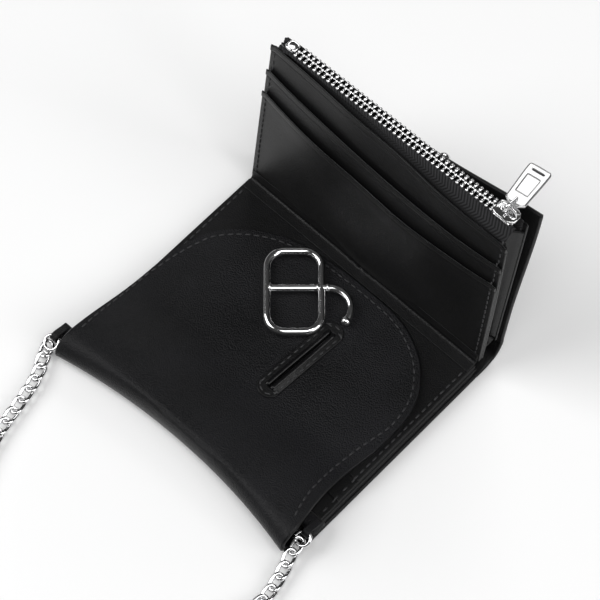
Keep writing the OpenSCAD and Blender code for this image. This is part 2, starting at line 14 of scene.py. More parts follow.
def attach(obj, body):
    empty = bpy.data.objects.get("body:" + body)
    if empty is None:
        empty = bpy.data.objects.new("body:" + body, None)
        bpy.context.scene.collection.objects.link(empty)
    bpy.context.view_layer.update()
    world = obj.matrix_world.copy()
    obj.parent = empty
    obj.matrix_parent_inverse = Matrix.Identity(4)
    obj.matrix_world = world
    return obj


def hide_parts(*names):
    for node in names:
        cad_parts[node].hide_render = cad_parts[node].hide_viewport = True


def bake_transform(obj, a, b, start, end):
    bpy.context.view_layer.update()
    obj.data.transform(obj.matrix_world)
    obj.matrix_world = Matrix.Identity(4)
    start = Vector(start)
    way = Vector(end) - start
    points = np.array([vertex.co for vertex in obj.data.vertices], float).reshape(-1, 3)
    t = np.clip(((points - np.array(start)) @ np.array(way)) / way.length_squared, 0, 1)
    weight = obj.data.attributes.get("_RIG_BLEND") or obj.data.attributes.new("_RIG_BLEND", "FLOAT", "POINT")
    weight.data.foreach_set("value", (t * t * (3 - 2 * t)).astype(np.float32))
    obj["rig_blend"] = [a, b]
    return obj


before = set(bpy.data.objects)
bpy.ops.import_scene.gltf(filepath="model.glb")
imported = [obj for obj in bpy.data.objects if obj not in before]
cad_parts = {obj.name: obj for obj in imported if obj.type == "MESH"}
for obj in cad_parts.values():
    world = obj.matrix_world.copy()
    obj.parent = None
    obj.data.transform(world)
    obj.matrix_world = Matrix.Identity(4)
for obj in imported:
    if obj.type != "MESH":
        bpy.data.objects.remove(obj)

log = logging.getLogger("chain_wallet")
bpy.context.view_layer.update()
MM = 0.001
UP = Vector((0, 0, 1))
Route = list[Vector]
Object = bpy.types.Object
Material = bpy.types.Material
Socket = bpy.types.NodeSocket


class Body(str, Enum):
    """The rigid bodies that pieces ride on."""

    BACK = "back_panel"
    FLAP = "flap"
    FOLDING = "folding_panel"
    SLIDER = "zip_slider"
    PULLER = "zip_puller"


class Slot(str, Enum):
    """The record's material slots."""

    PEBBLED = "pebbled_leather"
    SMOOTH = "smooth_leather"
    TAPE = "zip_tape"
    POLISHED = "polished_silver"
    SATIN = "satin_silver"


# ---- finishes


class Shader:
    """A node material under construction, with short ways to add and join nodes."""

    def __init__(self, name: str) -> None:
        """Start a material that holds one Principled shader.

        Args:
            name: The material's name.
        """
        self.material = bpy.data.materials.new(name)
        self.material.use_nodes = True
        self.tree = self.material.node_tree
        self.surface = self.tree.nodes["Principled BSDF"]
        self.place = self.add("TexCoord").outputs["Object"]

    def add(self, kind: str, settings: Optional[dict] = None, **inputs: object) -> bpy.types.Node:
        """Add a node.

        Args:
            kind: The node's type without its ShaderNode prefix.
            settings: Properties of the node itself.
            inputs: Socket values, or sockets to join, by name with _ for a space.

        Returns:
            The new node.
        """
        node = self.tree.nodes.new("ShaderNode" + kind)
        for key, value in (settings or {}).items():
            setattr(node, key, value)
        for key, value in inputs.items():
            self.put(node, key.replace("_", " "), value)
        return node

    def put(self, node: bpy.types.Node, socket: str, value: object) -> None:
        """Set a socket to a value, or join it when the value is another socket."""
        target = node.inputs[int(socket)] if socket.strip().isdigit() else node.inputs[socket]
        if isinstance(value, Socket):
            self.tree.links.new(value, target)
        else:
            target.default_value = value

    def ramp(self, source: Socket, stops: Sequence[tuple[float, float]]) -> Socket:
        """Remap a value through a grey ramp.

        Args:
            source: The value to remap.
            stops: Pairs of a place and the grey value there.

        Returns:
            The ramp's colour output.
        """
        node = self.add("ValToRGB", Fac=source)
        band = node.color_ramp
        while len(band.elements) < len(stops):
            band.elements.new(0.5)
        for element, (place, grey) in zip(band.elements, stops):
            element.position = place
            element.color = (grey, grey, grey, 1)
        return node.outputs["Color"]

    def scale_to(self, source: Socket, low: float, high: float) -> Socket:
        """Stretch a 0 to 1 value to run from low to high."""
        node = self.add("MapRange", Value=source, To_Min=low, To_Max=high)
        return node.outputs["Result"]

    def tint(self, amount: Socket, first: Sequence[float], second: Sequence[float]) -> Socket:
        """Blend two colours by an amount."""
        node = self.add("Mix", {"data_type": "RGBA"})
        self.tree.links.new(amount, node.inputs[0])
        node.inputs[6].default_value = (*first, 1)
        node.inputs[7].default_value = (*second, 1)
        return node.outputs[2]

    def bump(self, height: Socket, distance: float, strength: float = 1.0,
             under: Optional[Socket] = None) -> Socket:
        """Add a bump, on top of another where one is given."""
        node = self.add("Bump", Height=height, Distance=distance, Strength=strength)
        if under is not None:
            self.put(node, "Normal", under)
        return node.outputs["Normal"]

    def noise(self, place: Socket, scale: float, detail: float, **inputs: float) -> Socket:
        """Add soft noise."""
        return self.add("TexNoise", Vector=place, Scale=scale, Detail=detail, **inputs).outputs["Fac"]

    def calculate(self, operation: str, *terms: object, kind: str = "Math") -> Socket:
        """Add a calculation.

        Args:
            operation: What it does.
            terms: Its inputs in order, as values or sockets.
            kind: Math, or VectorMath for vectors.

        Returns:
            The result.
        """
        node = self.add(kind, {"operation": operation})
        for number, term in enumerate(terms):
            self.put(node, str(number), term)
        return node.outputs[0]

    def finish(self, **inputs: object) -> Material:
        """Set the shader's own inputs, by name with _ for a space, and hand the material over."""
        for key, value in inputs.items():
            self.put(self.surface, key.replace("_", " "), value)
        return self.material


@dataclass(frozen=True)
class Leather:
    """A black leather with its own grain."""

    name: str
    dark: tuple[float, float, float]
    light: tuple[float, float, float]
    grain_per_m: float
    grain_depth: float
    fine_depth: float
    rough_low: float
    rough_high: float
    sheen: float

    def build(self) -> Material:
        """Make the material: pebbles, fine pores, soft creases and an uneven shine."""
        s = Shader(self.name)
        warp = s.add("TexNoise", Vector=s.place, Scale=self.grain_per_m * 0.35, Detail=2.0).outputs["Color"]
        shifted = s.calculate("MULTIPLY_ADD", warp, (0.0006, 0.0006, 0.0006), s.place, kind="VectorMath")
        cells = s.add("TexVoronoi", {"feature": "SMOOTH_F1"}, Vector=shifted, Scale=self.grain_per_m,
                      Smoothness=0.35, Randomness=1.0)
        pebbles = s.ramp(cells.outputs["Distance"], [(0.1, 1.0), (0.42, 0.82), (0.62, 0.15), (0.8, 0.0)])
        pores = s.noise(s.place, self.grain_per_m * 4.2, 3.0)
        creases = s.noise(s.place, 95.0, 4.0, Roughness=0.62, Distortion=0.7)
        wear = s.noise(s.place, 34.0, 3.0)
        grain = s.bump(pebbles, self.grain_depth, 0.9, s.bump(creases, 0.0004, 0.16))
        return s.finish(Base_Color=s.tint(s.ramp(wear, [(0.35, 0.0), (0.7, 1.0)]), self.dark, self.light),
                        Roughness=s.scale_to(s.calculate("MULTIPLY_ADD", pebbles, -0.35, wear), self.rough_low,
                                             self.rough_high),
                        Normal=s.bump(pores, self.fine_depth, 0.6, grain), Specular_IOR_Level=0.2,
                        Sheen_Weight=self.sheen, Sheen_Roughness=0.4)


@dataclass(frozen=True)
class Metal:
    """A plated metal with faint scratches and smudges."""

    name: str
    colour: tuple[float, float, float]
    rough_low: float
    rough_high: float
    scratch: float

    def build(self) -> Material:
        """Make the material: stretched scratches and handling smudges."""
        s = Shader(self.name)
        along = s.add("Mapping", Vector=s.place, Scale=(1.0, 9.0, 1.0), Rotation=(0.0, 0.0, 0.7)).outputs["Vector"]
        smudge = s.noise(s.place, 120.0, 3.0)
        return s.finish(Base_Color=s.tint(smudge, self.colour, tuple(c * 0.93 for c in self.colour)), Metallic=1.0,
                        Roughness=s.scale_to(smudge, self.rough_low, self.rough_high),
                        Normal=s.bump(s.noise(along, 900.0, 4.0), 0.00002, self.scratch))


@dataclass(frozen=True)
class Weave:
    """Herringbone zip tape, read from the tape's own map in millimetres."""

    name: str
    dark: tuple[float, float, float]
    light: tuple[float, float, float]
    rib_mm: float = 1.25
    band_mm: float = 1.7

    def build(self) -> Material:
        """Make the material: slanting ribs that change side in bands along the tape, with painted shade in the rib
        hollows and a painted highlight on the rib crests.
        """
        s = Shader(self.name)
        parts = s.add("SeparateXYZ", Vector=s.add("UVMap", {"uv_map": "UVMap"}).outputs["UV"]).outputs
        slant = s.calculate("ADD", parts["X"], s.calculate("PINGPONG", parts["Y"], self.band_mm))
        height = s.scale_to(s.calculate("PINGPONG", slant, self.rib_mm / 2), 0.0, 2.0 / self.rib_mm)
        fuzz = s.noise(s.place, 5200.0, 2.0)
        # Painted shade and painted highlight: the colour runs from dark in the ribs' hollows to light on their crests,
        # following the same height as the bump.
        return s.finish(Base_Color=s.tint(height, self.dark, self.light), Roughness=0.82, Sheen_Weight=0.04,
                        Specular_IOR_Level=0.2, Normal=s.bump(fuzz, 0.00006, 0.6, s.bump(height, 0.00012, 0.9)))


@dataclass(frozen=True)
class Thread:
    """Waxed black sewing thread."""

    name: str
    colour: tuple[float, float, float]

    def build(self) -> Material:
        """Make the material: a fine twist with a low shine, and a painted highlight on the twist's crests."""
        s = Shader(self.name)
        twist = s.add("TexWave", {"bands_direction": "DIAGONAL"}, Vector=s.place, Scale=900.0,
                      Distortion=1.5).outputs["Fac"]
        # Painted highlight: the colour is lighter where the twist's bands stand up, following the same bands as the
        # bump.
        return s.finish(Base_Color=s.tint(twist, self.colour, tuple(c * 1.8 for c in self.colour)), Roughness=0.5,
                        Normal=s.bump(twist, 0.00008, 0.7))


@dataclass(frozen=True)
class Ground:
    """Pale matt ground."""

    name: str
    colour: tuple[float, float, float]

    def build(self) -> Material:
        """Make the material: near white, with the faintest unevenness."""
        s = Shader(self.name)
        cloud = s.noise(s.place, 3.0, 2.0)
        return s.finish(Base_Color=s.tint(cloud, self.colour, tuple(c * 0.99 for c in self.colour)), Roughness=0.9,
                        Specular_IOR_Level=0.1)


class Wardrobe:
    """Every finish of the wallet, built once."""

    def __init__(self) -> None:
        """Build the materials."""
        self.pebbled = Leather("pebbled_black", (0.0028, 0.0028, 0.0033), (0.006, 0.006, 0.0072), 1900.0, 0.00011,
                               0.00003, 0.34, 0.56, 0.03).build()
        self.smooth = Leather("smooth_black", (0.0028, 0.0028, 0.003), (0.006, 0.006, 0.0064), 2300.0, 0.00005,
                              0.00002, 0.3, 0.46, 0.03).build()
        self.edge = Leather("edge_paint", (0.003, 0.003, 0.0033), (0.006, 0.006, 0.0064), 1700.0, 0.00004,
                            0.00002, 0.3, 0.45, 0.0).build()
        self.gloss = Leather("glossy_black", (0.003, 0.003, 0.0033), (0.005, 0.005, 0.0055), 2600.0, 0.00002,
                             0.00001, 0.16, 0.26, 0.0).build()
        self.tape = Weave("herringbone_black", (0.0015, 0.0015, 0.0017), (0.03, 0.03, 0.032)).build()
        self.thread = Thread("black_thread", (0.013, 0.013, 0.014)).build()
        self.polished = Metal("polished_silver", (0.74, 0.74, 0.745), 0.05, 0.14, 0.2).build()
        self.satin = Metal("satin_silver", (0.62, 0.62, 0.62), 0.24, 0.38, 0.7).build()


# ---- mesh tools


def smooth_step(t: float) -> float:
    """Ease from 0 to 1 with level ends."""
    t = min(max(t, 0.0), 1.0)
    return t * t * (3 - 2 * t)


def samples(count: int, rim: float = 0.0) -> list[float]:
    """Even places from 0 to 1, with one more close to each end to hold a crisp rim.

    Args:
        count: The number of even spans.
        rim: The distance of the extra places from the ends, or 0 for none.

    Returns:
        The places in order.
    """
    even = [i / count for i in range(count + 1)]
    return even if not rim else sorted({0.0, rim, 1 - rim, 1.0, *[t for t in even if rim * 1.5 < t < 1 - rim * 1.5]})


def spline(points: Sequence[Sequence[float]], steps: int) -> Route:
    """A smooth curve through points.

    Args:
        points: The points to pass through.
        steps: The number of spans between one point and the next.

    Returns:
        Points along the curve.
    """
    pts = [Vector(p) for p in points]
    out: Route = []
    for i in range(len(pts) - 1):
        a, b = pts[max(i - 1, 0)], pts[i]
        c, d = pts[i + 1], pts[min(i + 2, len(pts) - 1)]
        for k in range(steps):
            t = k / steps
            out.append(0.5 * (2 * b + (c - a) * t + (2 * a - 5 * b + 4 * c - d) * t * t
                              + (3 * b - a - 3 * c + d) * t ** 3))
    out.append(pts[-1])
    return out


def even_route(points: Sequence[Vector], count: int) -> Route:
    """Points at even distances along a polyline."""
    lengths = [0.0]
    for a, b in zip(points, points[1:]):
        lengths.append(lengths[-1] + (b - a).length)
    out: Route = []
    k = 0
    for i in range(count):
        want = lengths[-1] * i / (count - 1)
        while k < len(points) - 2 and lengths[k + 1] < want:
            k += 1
        span = lengths[k + 1] - lengths[k] or 1.0
        out.append(points[k].lerp(points[k + 1], min(max((want - lengths[k]) / span, 0.0), 1.0)))
    return out


def point_along(line: Sequence[Vector], share: float) -> Vector:
    """The point at a share of the way through a line's points."""
    place = share * (len(line) - 1)
    k = min(int(place), len(line) - 2)
    return line[k].lerp(line[k + 1], place - k)


def turns(count: int, offset: float = 0.0) -> list[float]:
    """Even angles round a full turn, in radians."""
    return [2 * math.pi * (k + offset) / count for k in range(count)]


def octagon(cut: float) -> list[tuple[float, float]]:
    """A square of half width 1 with its corners cut off."""
    return [(1, cut), (cut, 1), (-cut, 1), (-1, cut), (-1, -cut), (-cut, -1), (cut, -1), (1, -cut)]


def new_object(name: str, verts: Iterable[Sequence[float]], faces: Sequence[Sequence[int]]) -> Object:
    """Make a smooth-shaded mesh object at the origin from points in metres."""
    mesh = bpy.data.meshes.new(name)
    mesh.from_pydata([tuple(v) for v in verts], [], [tuple(f) for f in faces])
    mesh.validate()
    mesh.polygons.foreach_set("use_smooth", [True] * len(mesh.polygons))
    obj = bpy.data.objects.new(name, mesh)
    bpy.context.scene.collection.objects.link(obj)
    return obj


Surface = Callable[[float, float], Vector]


@dataclass
class Skin:
    """A closed piece of leather or tape: a middle surface given a thickness and a rounded edge."""

    name: str
    surface: Surface
    us: list[float]
    vs: list[float]
    thickness: Callable[[float, float], float] | float
    rounding: float = 0.42
    materials: Sequence[Material] = field(default_factory=list)

    def build(self) -> Object:
        """Build the piece.

        Returns:
            The object, with its faces outwards and a map in millimetres.
        """
        nu, nv = len(self.us), len(self.vs)
        mid = np.array([[self.surface(u, v) for v in self.vs] for u in self.us], float)
        du = np.gradient(mid, axis=0)
        dv = np.gradient(mid, axis=1)
        normal = np.cross(du, dv)
        normal /= np.maximum(np.linalg.norm(normal, axis=2, keepdims=True), 1e-12)
        thick = self.thickness if callable(self.thickness) else lambda u, v: self.thickness
        half = np.array([[thick(u, v) / 2 for v in self.vs] for u in self.us])[..., None]
        verts = [*(mid + normal * half).reshape(-1, 3), *(mid - normal * half).reshape(-1, 3)]
        count = nu * nv

        def index(i: int, j: int) -> int:
            """The number of a point of the grid."""
            return i * nv + j

        faces: list[list[int]] = []
        for i in range(nu - 1):
            for j in range(nv - 1):
                faces.append([index(i, j), index(i + 1, j), index(i + 1, j + 1), index(i, j + 1)])
        top_faces = len(faces)
        faces += [[count + k for k in reversed(f)] for f in faces[:top_faces]]
        ring = [(i, 0) for i in range(nu)] + [(nu - 1, j) for j in range(1, nv)]
        ring += [(i, nv - 1) for i in range(nu - 2, -1, -1)] + [(0, j) for j in range(nv - 2, 0, -1)]
        rim: list[int] = []
        for i, j in ring:
            inner = mid[min(max(i, 1), nu - 2), min(max(j, 1), nv - 2)]
            out = mid[i, j] - inner
            out = out / max(float(np.linalg.norm(out)), 1e-12)
            rim.append(len(verts))
            verts.append(mid[i, j] + out * half[i, j] * 2 * self.rounding)
        for k, (i, j) in enumerate(ring):
            n = (k + 1) % len(ring)
            a, b = index(i, j), index(*ring[n])
            faces.append([b, a, rim[k], rim[n]])
            faces.append([rim[n], rim[k], count + a, count + b])
        obj = new_object(self.name, verts, faces)
        for material in self.materials:
            obj.data.materials.append(material)
        if len(self.materials) > 1:
            last = len(self.materials) - 1
            marks = [0] * top_faces + [1] * top_faces + [last] * (len(faces) - 2 * top_faces)
            if len(marks) == len(obj.data.polygons):
                obj.data.polygons.foreach_set("material_index", marks)
        self.map_in_mm(obj, mid)
        return obj

    def map_in_mm(self, obj: Object, mid: np.ndarray) -> None:
        """Give the piece a map whose units are millimetres along and across."""
        nu, nv = mid.shape[:2]
        along = np.concatenate([[0.0], np.cumsum(np.linalg.norm(np.diff(mid[:, nv // 2], axis=0), axis=1))])
        across = np.concatenate([[0.0], np.cumsum(np.linalg.norm(np.diff(mid[nu // 2], axis=0), axis=1))])
        layer = obj.data.uv_layers.new(name="UVMap")
        count = nu * nv
        for loop in obj.data.loops:
            k = loop.vertex_index
            if k >= 2 * count:
                layer.data[loop.index].uv = (0.0, 0.0)
                continue
            i, j = divmod(k % count, nv)
            layer.data[loop.index].uv = (along[i] / MM, across[j] / MM)


class Repeater:
    """Sets copies of a small shape along a route with a Geometry Nodes tree."""

    def __init__(self) -> None:
        """Build the tree once; every run shares it."""
        tree = bpy.data.node_groups.new("repeat_along_route", "GeometryNodeTree")
        face = tree.interface
        for name, kind in (("Geometry", "Geometry"), ("Unit", "Object"), ("Pitch", "Float"), ("Wobble", "Float"),
                           ("Seed", "Int"), ("Finish", "Material")):
            face.new_socket(name, in_out="INPUT", socket_type="NodeSocket" + kind)
        face.new_socket("Geometry", in_out="OUTPUT", socket_type="NodeSocketGeometry")
        add, join = tree.nodes.new, tree.links.new
        start, end = add("NodeGroupInput"), add("NodeGroupOutput")
        curve, even = add("GeometryNodeMeshToCurve"), add("GeometryNodeResampleCurve")
        even.mode = "LENGTH"
        join(start.outputs["Geometry"], curve.inputs[0])
        join(curve.outputs[0], even.inputs["Curve"])
        join(start.outputs["Pitch"], even.inputs["Length"])
        ahead, up = add("GeometryNodeInputTangent"), add("GeometryNodeInputNamedAttribute")
        up.data_type = "FLOAT_VECTOR"
        up.inputs["Name"].default_value = "up"
        first, second = add("FunctionNodeAlignRotationToVector"), add("FunctionNodeAlignRotationToVector")
        first.axis, first.pivot_axis = "X", "AUTO"
        second.axis, second.pivot_axis = "Z", "X"
        join(ahead.outputs[0], first.inputs["Vector"])
        join(first.outputs[0], second.inputs["Rotation"])
        join(up.outputs[0], second.inputs["Vector"])
        low = add("ShaderNodeMath")
        low.operation = "MULTIPLY"
        low.inputs[1].default_value = -1.0
        join(start.outputs["Wobble"], low.inputs[0])
        chance = add("FunctionNodeRandomValue")
        chance.data_type = "FLOAT_VECTOR"
        join(low.outputs[0], chance.inputs["Min"])
        join(start.outputs["Wobble"], chance.inputs["Max"])
        join(start.outputs["Seed"], chance.inputs["Seed"])
        turn, shake = add("FunctionNodeEulerToRotation"), add("FunctionNodeRotateRotation")
        shake.rotation_space = "LOCAL"
        join(chance.outputs[0], turn.inputs[0])
        join(second.outputs[0], shake.inputs[0])
        join(turn.outputs[0], shake.inputs[1])
        unit, copies = add("GeometryNodeObjectInfo"), add("GeometryNodeInstanceOnPoints")
        join(start.outputs["Unit"], unit.inputs["Object"])
        join(even.outputs[0], copies.inputs["Points"])
        join(unit.outputs["Geometry"], copies.inputs["Instance"])
        join(shake.outputs[0], copies.inputs["Rotation"])
        real, dress = add("GeometryNodeRealizeInstances"), add("GeometryNodeSetMaterial")
        join(copies.outputs[0], real.inputs[0])
        join(real.outputs[0], dress.inputs["Geometry"])
        join(start.outputs["Finish"], dress.inputs["Material"])
        join(dress.outputs[0], end.inputs[0])
        self.tree = tree

    def run(self, name: str, routes: Sequence[Route], ups: Sequence[Route], unit: Object, pitch: float,
            finish: Material, wobble: float = 0.0, seed: int = 1) -> Object:
        """Set the copies and make them one plain mesh.

        Args:
            name: The new piece's name.
            routes: Polylines in metres.
            ups: The upward direction at each point of each route.
            unit: The small shape, along X with Z up.
            pitch: Distance from one copy to the next, in metres.
            finish: The copies' material.
            wobble: The most a copy turns at random about each axis, in radians.
            seed: The seed for that turn.

        Returns:
            The piece.
        """
        verts: Route = []
        edges: list[tuple[int, int]] = []
        raised: Route = []
        for route, tops in zip(routes, ups):
            edges += [(len(verts) + k, len(verts) + k + 1) for k in range(len(route) - 1)]
            verts += route
            raised += tops
        mesh = bpy.data.meshes.new(name + "_route")
        mesh.from_pydata([tuple(v) for v in verts], edges, [])
        up = mesh.attributes.new("up", "FLOAT_VECTOR", "POINT")
        up.data.foreach_set("vector", np.array([tuple(v) for v in raised], np.float32).reshape(-1))
        guide = bpy.data.objects.new(name + "_route", mesh)
        bpy.context.scene.collection.objects.link(guide)
        modifier = guide.modifiers.new("repeat", "NODES")
        modifier.node_group = self.tree
        values = {"Unit": unit, "Pitch": pitch, "Wobble": wobble, "Seed": seed, "Finish": finish}
        for item in self.tree.interface.items_tree:
            if item.item_type == "SOCKET" and item.in_out == "INPUT" and item.name in values:
                modifier[item.identifier] = values[item.name]
        graph = bpy.context.evaluated_depsgraph_get()
        graph.update()
        plain = bpy.data.meshes.new_from_object(guide.evaluated_get(graph), depsgraph=graph)
        plain.name = name
        piece = bpy.data.objects.new(name, plain)
        bpy.context.scene.collection.objects.link(piece)
        bpy.data.objects.remove(guide)
        for attribute in list(piece.data.attributes):
            if attribute.name == "up":
                piece.data.attributes.remove(attribute)
        piece.data.polygons.foreach_set("use_smooth", [True] * len(piece.data.polygons))
        if not piece.data.materials:
            piece.data.materials.append(finish)
        return piece


def outward(obj: Object) -> Object:
    """Turn every face of a closed mesh outwards."""
    work = bmesh.new()
    work.from_mesh(obj.data)
    bmesh.ops.recalc_face_normals(work, faces=work.faces)
    work.to_mesh(obj.data)
    work.free()
    return obj


def tube(name: str, rings: Sequence[Sequence[Vector]], closed: bool = False) -> Object:
    """A closed shape over rings of points.

    Args:
        name: The piece's name.
        rings: The rings in order, with as many points each, in metres.
        closed: Whether the last ring joins the first, in place of two end faces.

    Returns:
        The piece.
    """
    n, sides = len(rings), len(rings[0])
    faces = [[i * sides + k, i * sides + (k + 1) % sides, (i + 1) % n * sides + (k + 1) % sides,
              (i + 1) % n * sides + k] for i in range(n if closed else n - 1) for k in range(sides)]
    if closed:
        # The corners' order decides which way each coarse face is split.
        faces = [face[::-1] for face in faces]
    else:
        faces += [list(range(sides)), [(n - 1) * sides + k for k in range(sides - 1, -1, -1)]]
    return outward(new_object(name, [p for ring in rings for p in ring], faces))


def swept(name: str, path: Sequence[Vector], radius: Callable[[float], tuple[float, float]], sides: int,
          up: Vector, closed: bool = False) -> Object:
    """A rod of oval section along a path.

    Args:
        name: The piece's name.
        path: The rod's middle line, in metres.
        radius: The section's two half widths, across and along up, at a share of the way.
        sides: Points round the section.
        up: A direction the section keeps to.
        closed: Whether the path joins its own start.

    Returns:
        The piece.
    """
    rings: list[Route] = []
    n = len(path)
    for i, p in enumerate(path):
        before = path[(i - 1) % n] if closed else path[max(i - 1, 0)]
        after = path[(i + 1) % n] if closed else path[min(i + 1, n - 1)]
        ahead = (after - before).normalized()
        across = ahead.cross(up).normalized()
        rise = across.cross(ahead).normalized()
        a, b = radius(i / (n - 1))
        rings.append([p + a * math.cos(t) * across + b * math.sin(t) * rise for t in turns(sides)])
    return tube(name, rings, closed)


def punch(obj: Object, cutters: Sequence[Object]) -> Object:
    """Cut shapes out of a piece and keep the plain result."""
    for cutter in cutters:
        cut = obj.modifiers.new("cut", "BOOLEAN")
        cut.operation, cut.solver, cut.object = "DIFFERENCE", "EXACT", cutter
    graph = bpy.context.evaluated_depsgraph_get()
    graph.update()
    result = bpy.data.meshes.new_from_object(obj.evaluated_get(graph), depsgraph=graph)
    obj.modifiers.clear()
    obj.data = result
    for cutter in cutters:
        bpy.data.objects.remove(cutter)
    return obj


def dress(obj: Object, material: Material) -> Object:
    """Give a piece one material."""
    obj.data.materials.clear()
    obj.data.materials.append(material)
    return obj


def settle(obj: Object, body: Body, slot: Slot, *nodes: str) -> Object:
    """Put a piece on its body, in place of CAD nodes."""
    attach(obj, body.value)
    return claim(obj, slot, *nodes)


def claim(obj: Object, slot: Slot, *nodes: str) -> Object:
    """Hide the CAD nodes that a piece stands for, where it stands for any, and log its faces."""
    if any(nodes):
        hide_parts(*nodes)
    log.info("%s: %d faces", obj.name, len(obj.data.polygons))
    return obj


# ---- places


@dataclass(frozen=True)
class Places:
    """Sizes shared by the pieces, in millimetres, as the CAD has them."""

    left: float = -55.0
    right: float = 55.0
    mouth: float = 56.5
    fold_y: float = -42.0
    fold_r: float = 6.5
    flap_z: float = 6.3
    flap_t: float = 2.0
    spine_y: float = 48.5
    axis_z: float = 6.2
    lean: float = 7.3
    splay: float = 0.7
    zip_y: float = 4.6
    zip_z: float = 80.6
    rear_y: float = 7.2
    mouth_z: float = 77.9
    mouth_tilt: float = 0.9
    mouth_lean: float = 3.6

    def lean_across(self, x: float) -> float:
        """How far the coin pocket's front leans out at the zip, at a place across."""
        return self.mouth_lean * smooth_step((x + 35) / 90)

    @staticmethod
    def lean_up(z: float) -> float:
        """The share of that lean at a height."""
        return min(max(z / 78.5, 0.0), 1.0) ** 1.6
    def panel(self, x: float, y: float, z: float, splayed: float = 0.0) -> Vector:
        """A point of the folding panel in metres.

        Args:
            x: Along the panel.
            y: Depth behind the spine's axis.
            z: Height above the axis.
            splayed: The share of the rear layers' turn that the point takes.

        Returns:
            The point in the frame of the whole wallet.
        """
        a = math.radians(self.splay * splayed)
        dx = x - self.left
        x, y = self.left + dx * math.cos(a) - y * math.sin(a), dx * math.sin(a) + y * math.cos(a)
        b = math.radians(self.lean)
        return Vector((x, self.spine_y + y * math.cos(b) + z * math.sin(b),
                       self.axis_z - y * math.sin(b) + z * math.cos(b))) * MM

    def panel_dir(self, x: float, y: float, z: float, splayed: float = 0.0) -> Vector:
        """A direction of the folding panel."""
        return (self.panel(x, y, z, splayed) - self.panel(0, 0, 0, splayed)).normalized()


AT = Places()


def lift(points: Iterable[Sequence[float]]) -> Route:
    """Points given in millimetres, in metres."""
    return [Vector(p) * MM for p in points]


# ---- studio and chain


@dataclass
class Studio:
    """Camera, ground and soft lights."""

    azimuth: float = 43.263
    elevation: float = 63.378
    distance: float = 1.0
    target: tuple[float, float, float] = (-0.004579, 0.020676, 0.015)
    lens: float = 170.0

    def camera(self) -> None:
        """Set the camera."""
        a, e = math.radians(self.azimuth), math.radians(self.elevation)
        back = Vector((math.sin(a) * math.cos(e), -math.cos(a) * math.cos(e), math.sin(e)))
        data = bpy.data.cameras.new("camera")
        data.lens, data.sensor_width = self.lens, 36.0
        data.clip_start, data.clip_end = 0.01, 50.0
        cam = bpy.data.objects.new("camera", data)
        cam.location = Vector(self.target) + back * self.distance
        cam.rotation_euler = back.to_track_quat("Z", "Y").to_euler()
        bpy.context.scene.collection.objects.link(cam)
        bpy.context.scene.camera = cam

    def ground(self, name: str, z: float) -> None:
        """Lay the pale ground."""
        side = 4.0
        obj = new_object(name, [(-side, -side, z), (side, -side, z), (side, side, z), (-side, side, z)], [(0, 1, 2, 3)])
        dress(obj, Ground("pale_ground", (0.86, 0.86, 0.86)).build())

    def light(self, name: str, place: Sequence[float], size: tuple[float, float], power: float) -> None:
        """Hang a soft box that faces the wallet."""
        data = bpy.data.lights.new(name, "AREA")
        data.shape, data.size, data.size_y, data.energy = "RECTANGLE", size[0], size[1], power
        obj = bpy.data.objects.new(name, data)
        obj.location = place
        obj.rotation_euler = (Vector(place) - Vector((0, 0, 0.02))).to_track_quat("Z", "Y").to_euler()
        bpy.context.scene.collection.objects.link(obj)

    def build(self) -> None:
        """Set the whole studio."""
        world = bpy.data.worlds.new("studio")
        world.use_nodes = True
        world.node_tree.nodes["Background"].inputs["Color"].default_value = (1, 1, 1, 1)
        world.node_tree.nodes["Background"].inputs["Strength"].default_value = 0.06
        bpy.context.scene.world = world
        bpy.context.scene.view_settings.view_transform = "Standard"
        self.ground("ground", -0.0002)
        self.light("key", (-1.0, -0.75, 1.2), (1.2, 1.2), 20.0)
        self.light("back", (-0.42, 1.2, 0.92), (0.9, 0.6), 5.0)
        self.light("side", (1.5, 0.25, 1.1), (1.1, 1.1), 15.0)
        self.light("top", (0.6, -0.3, 1.8), (1.1, 1.1), 15.0)


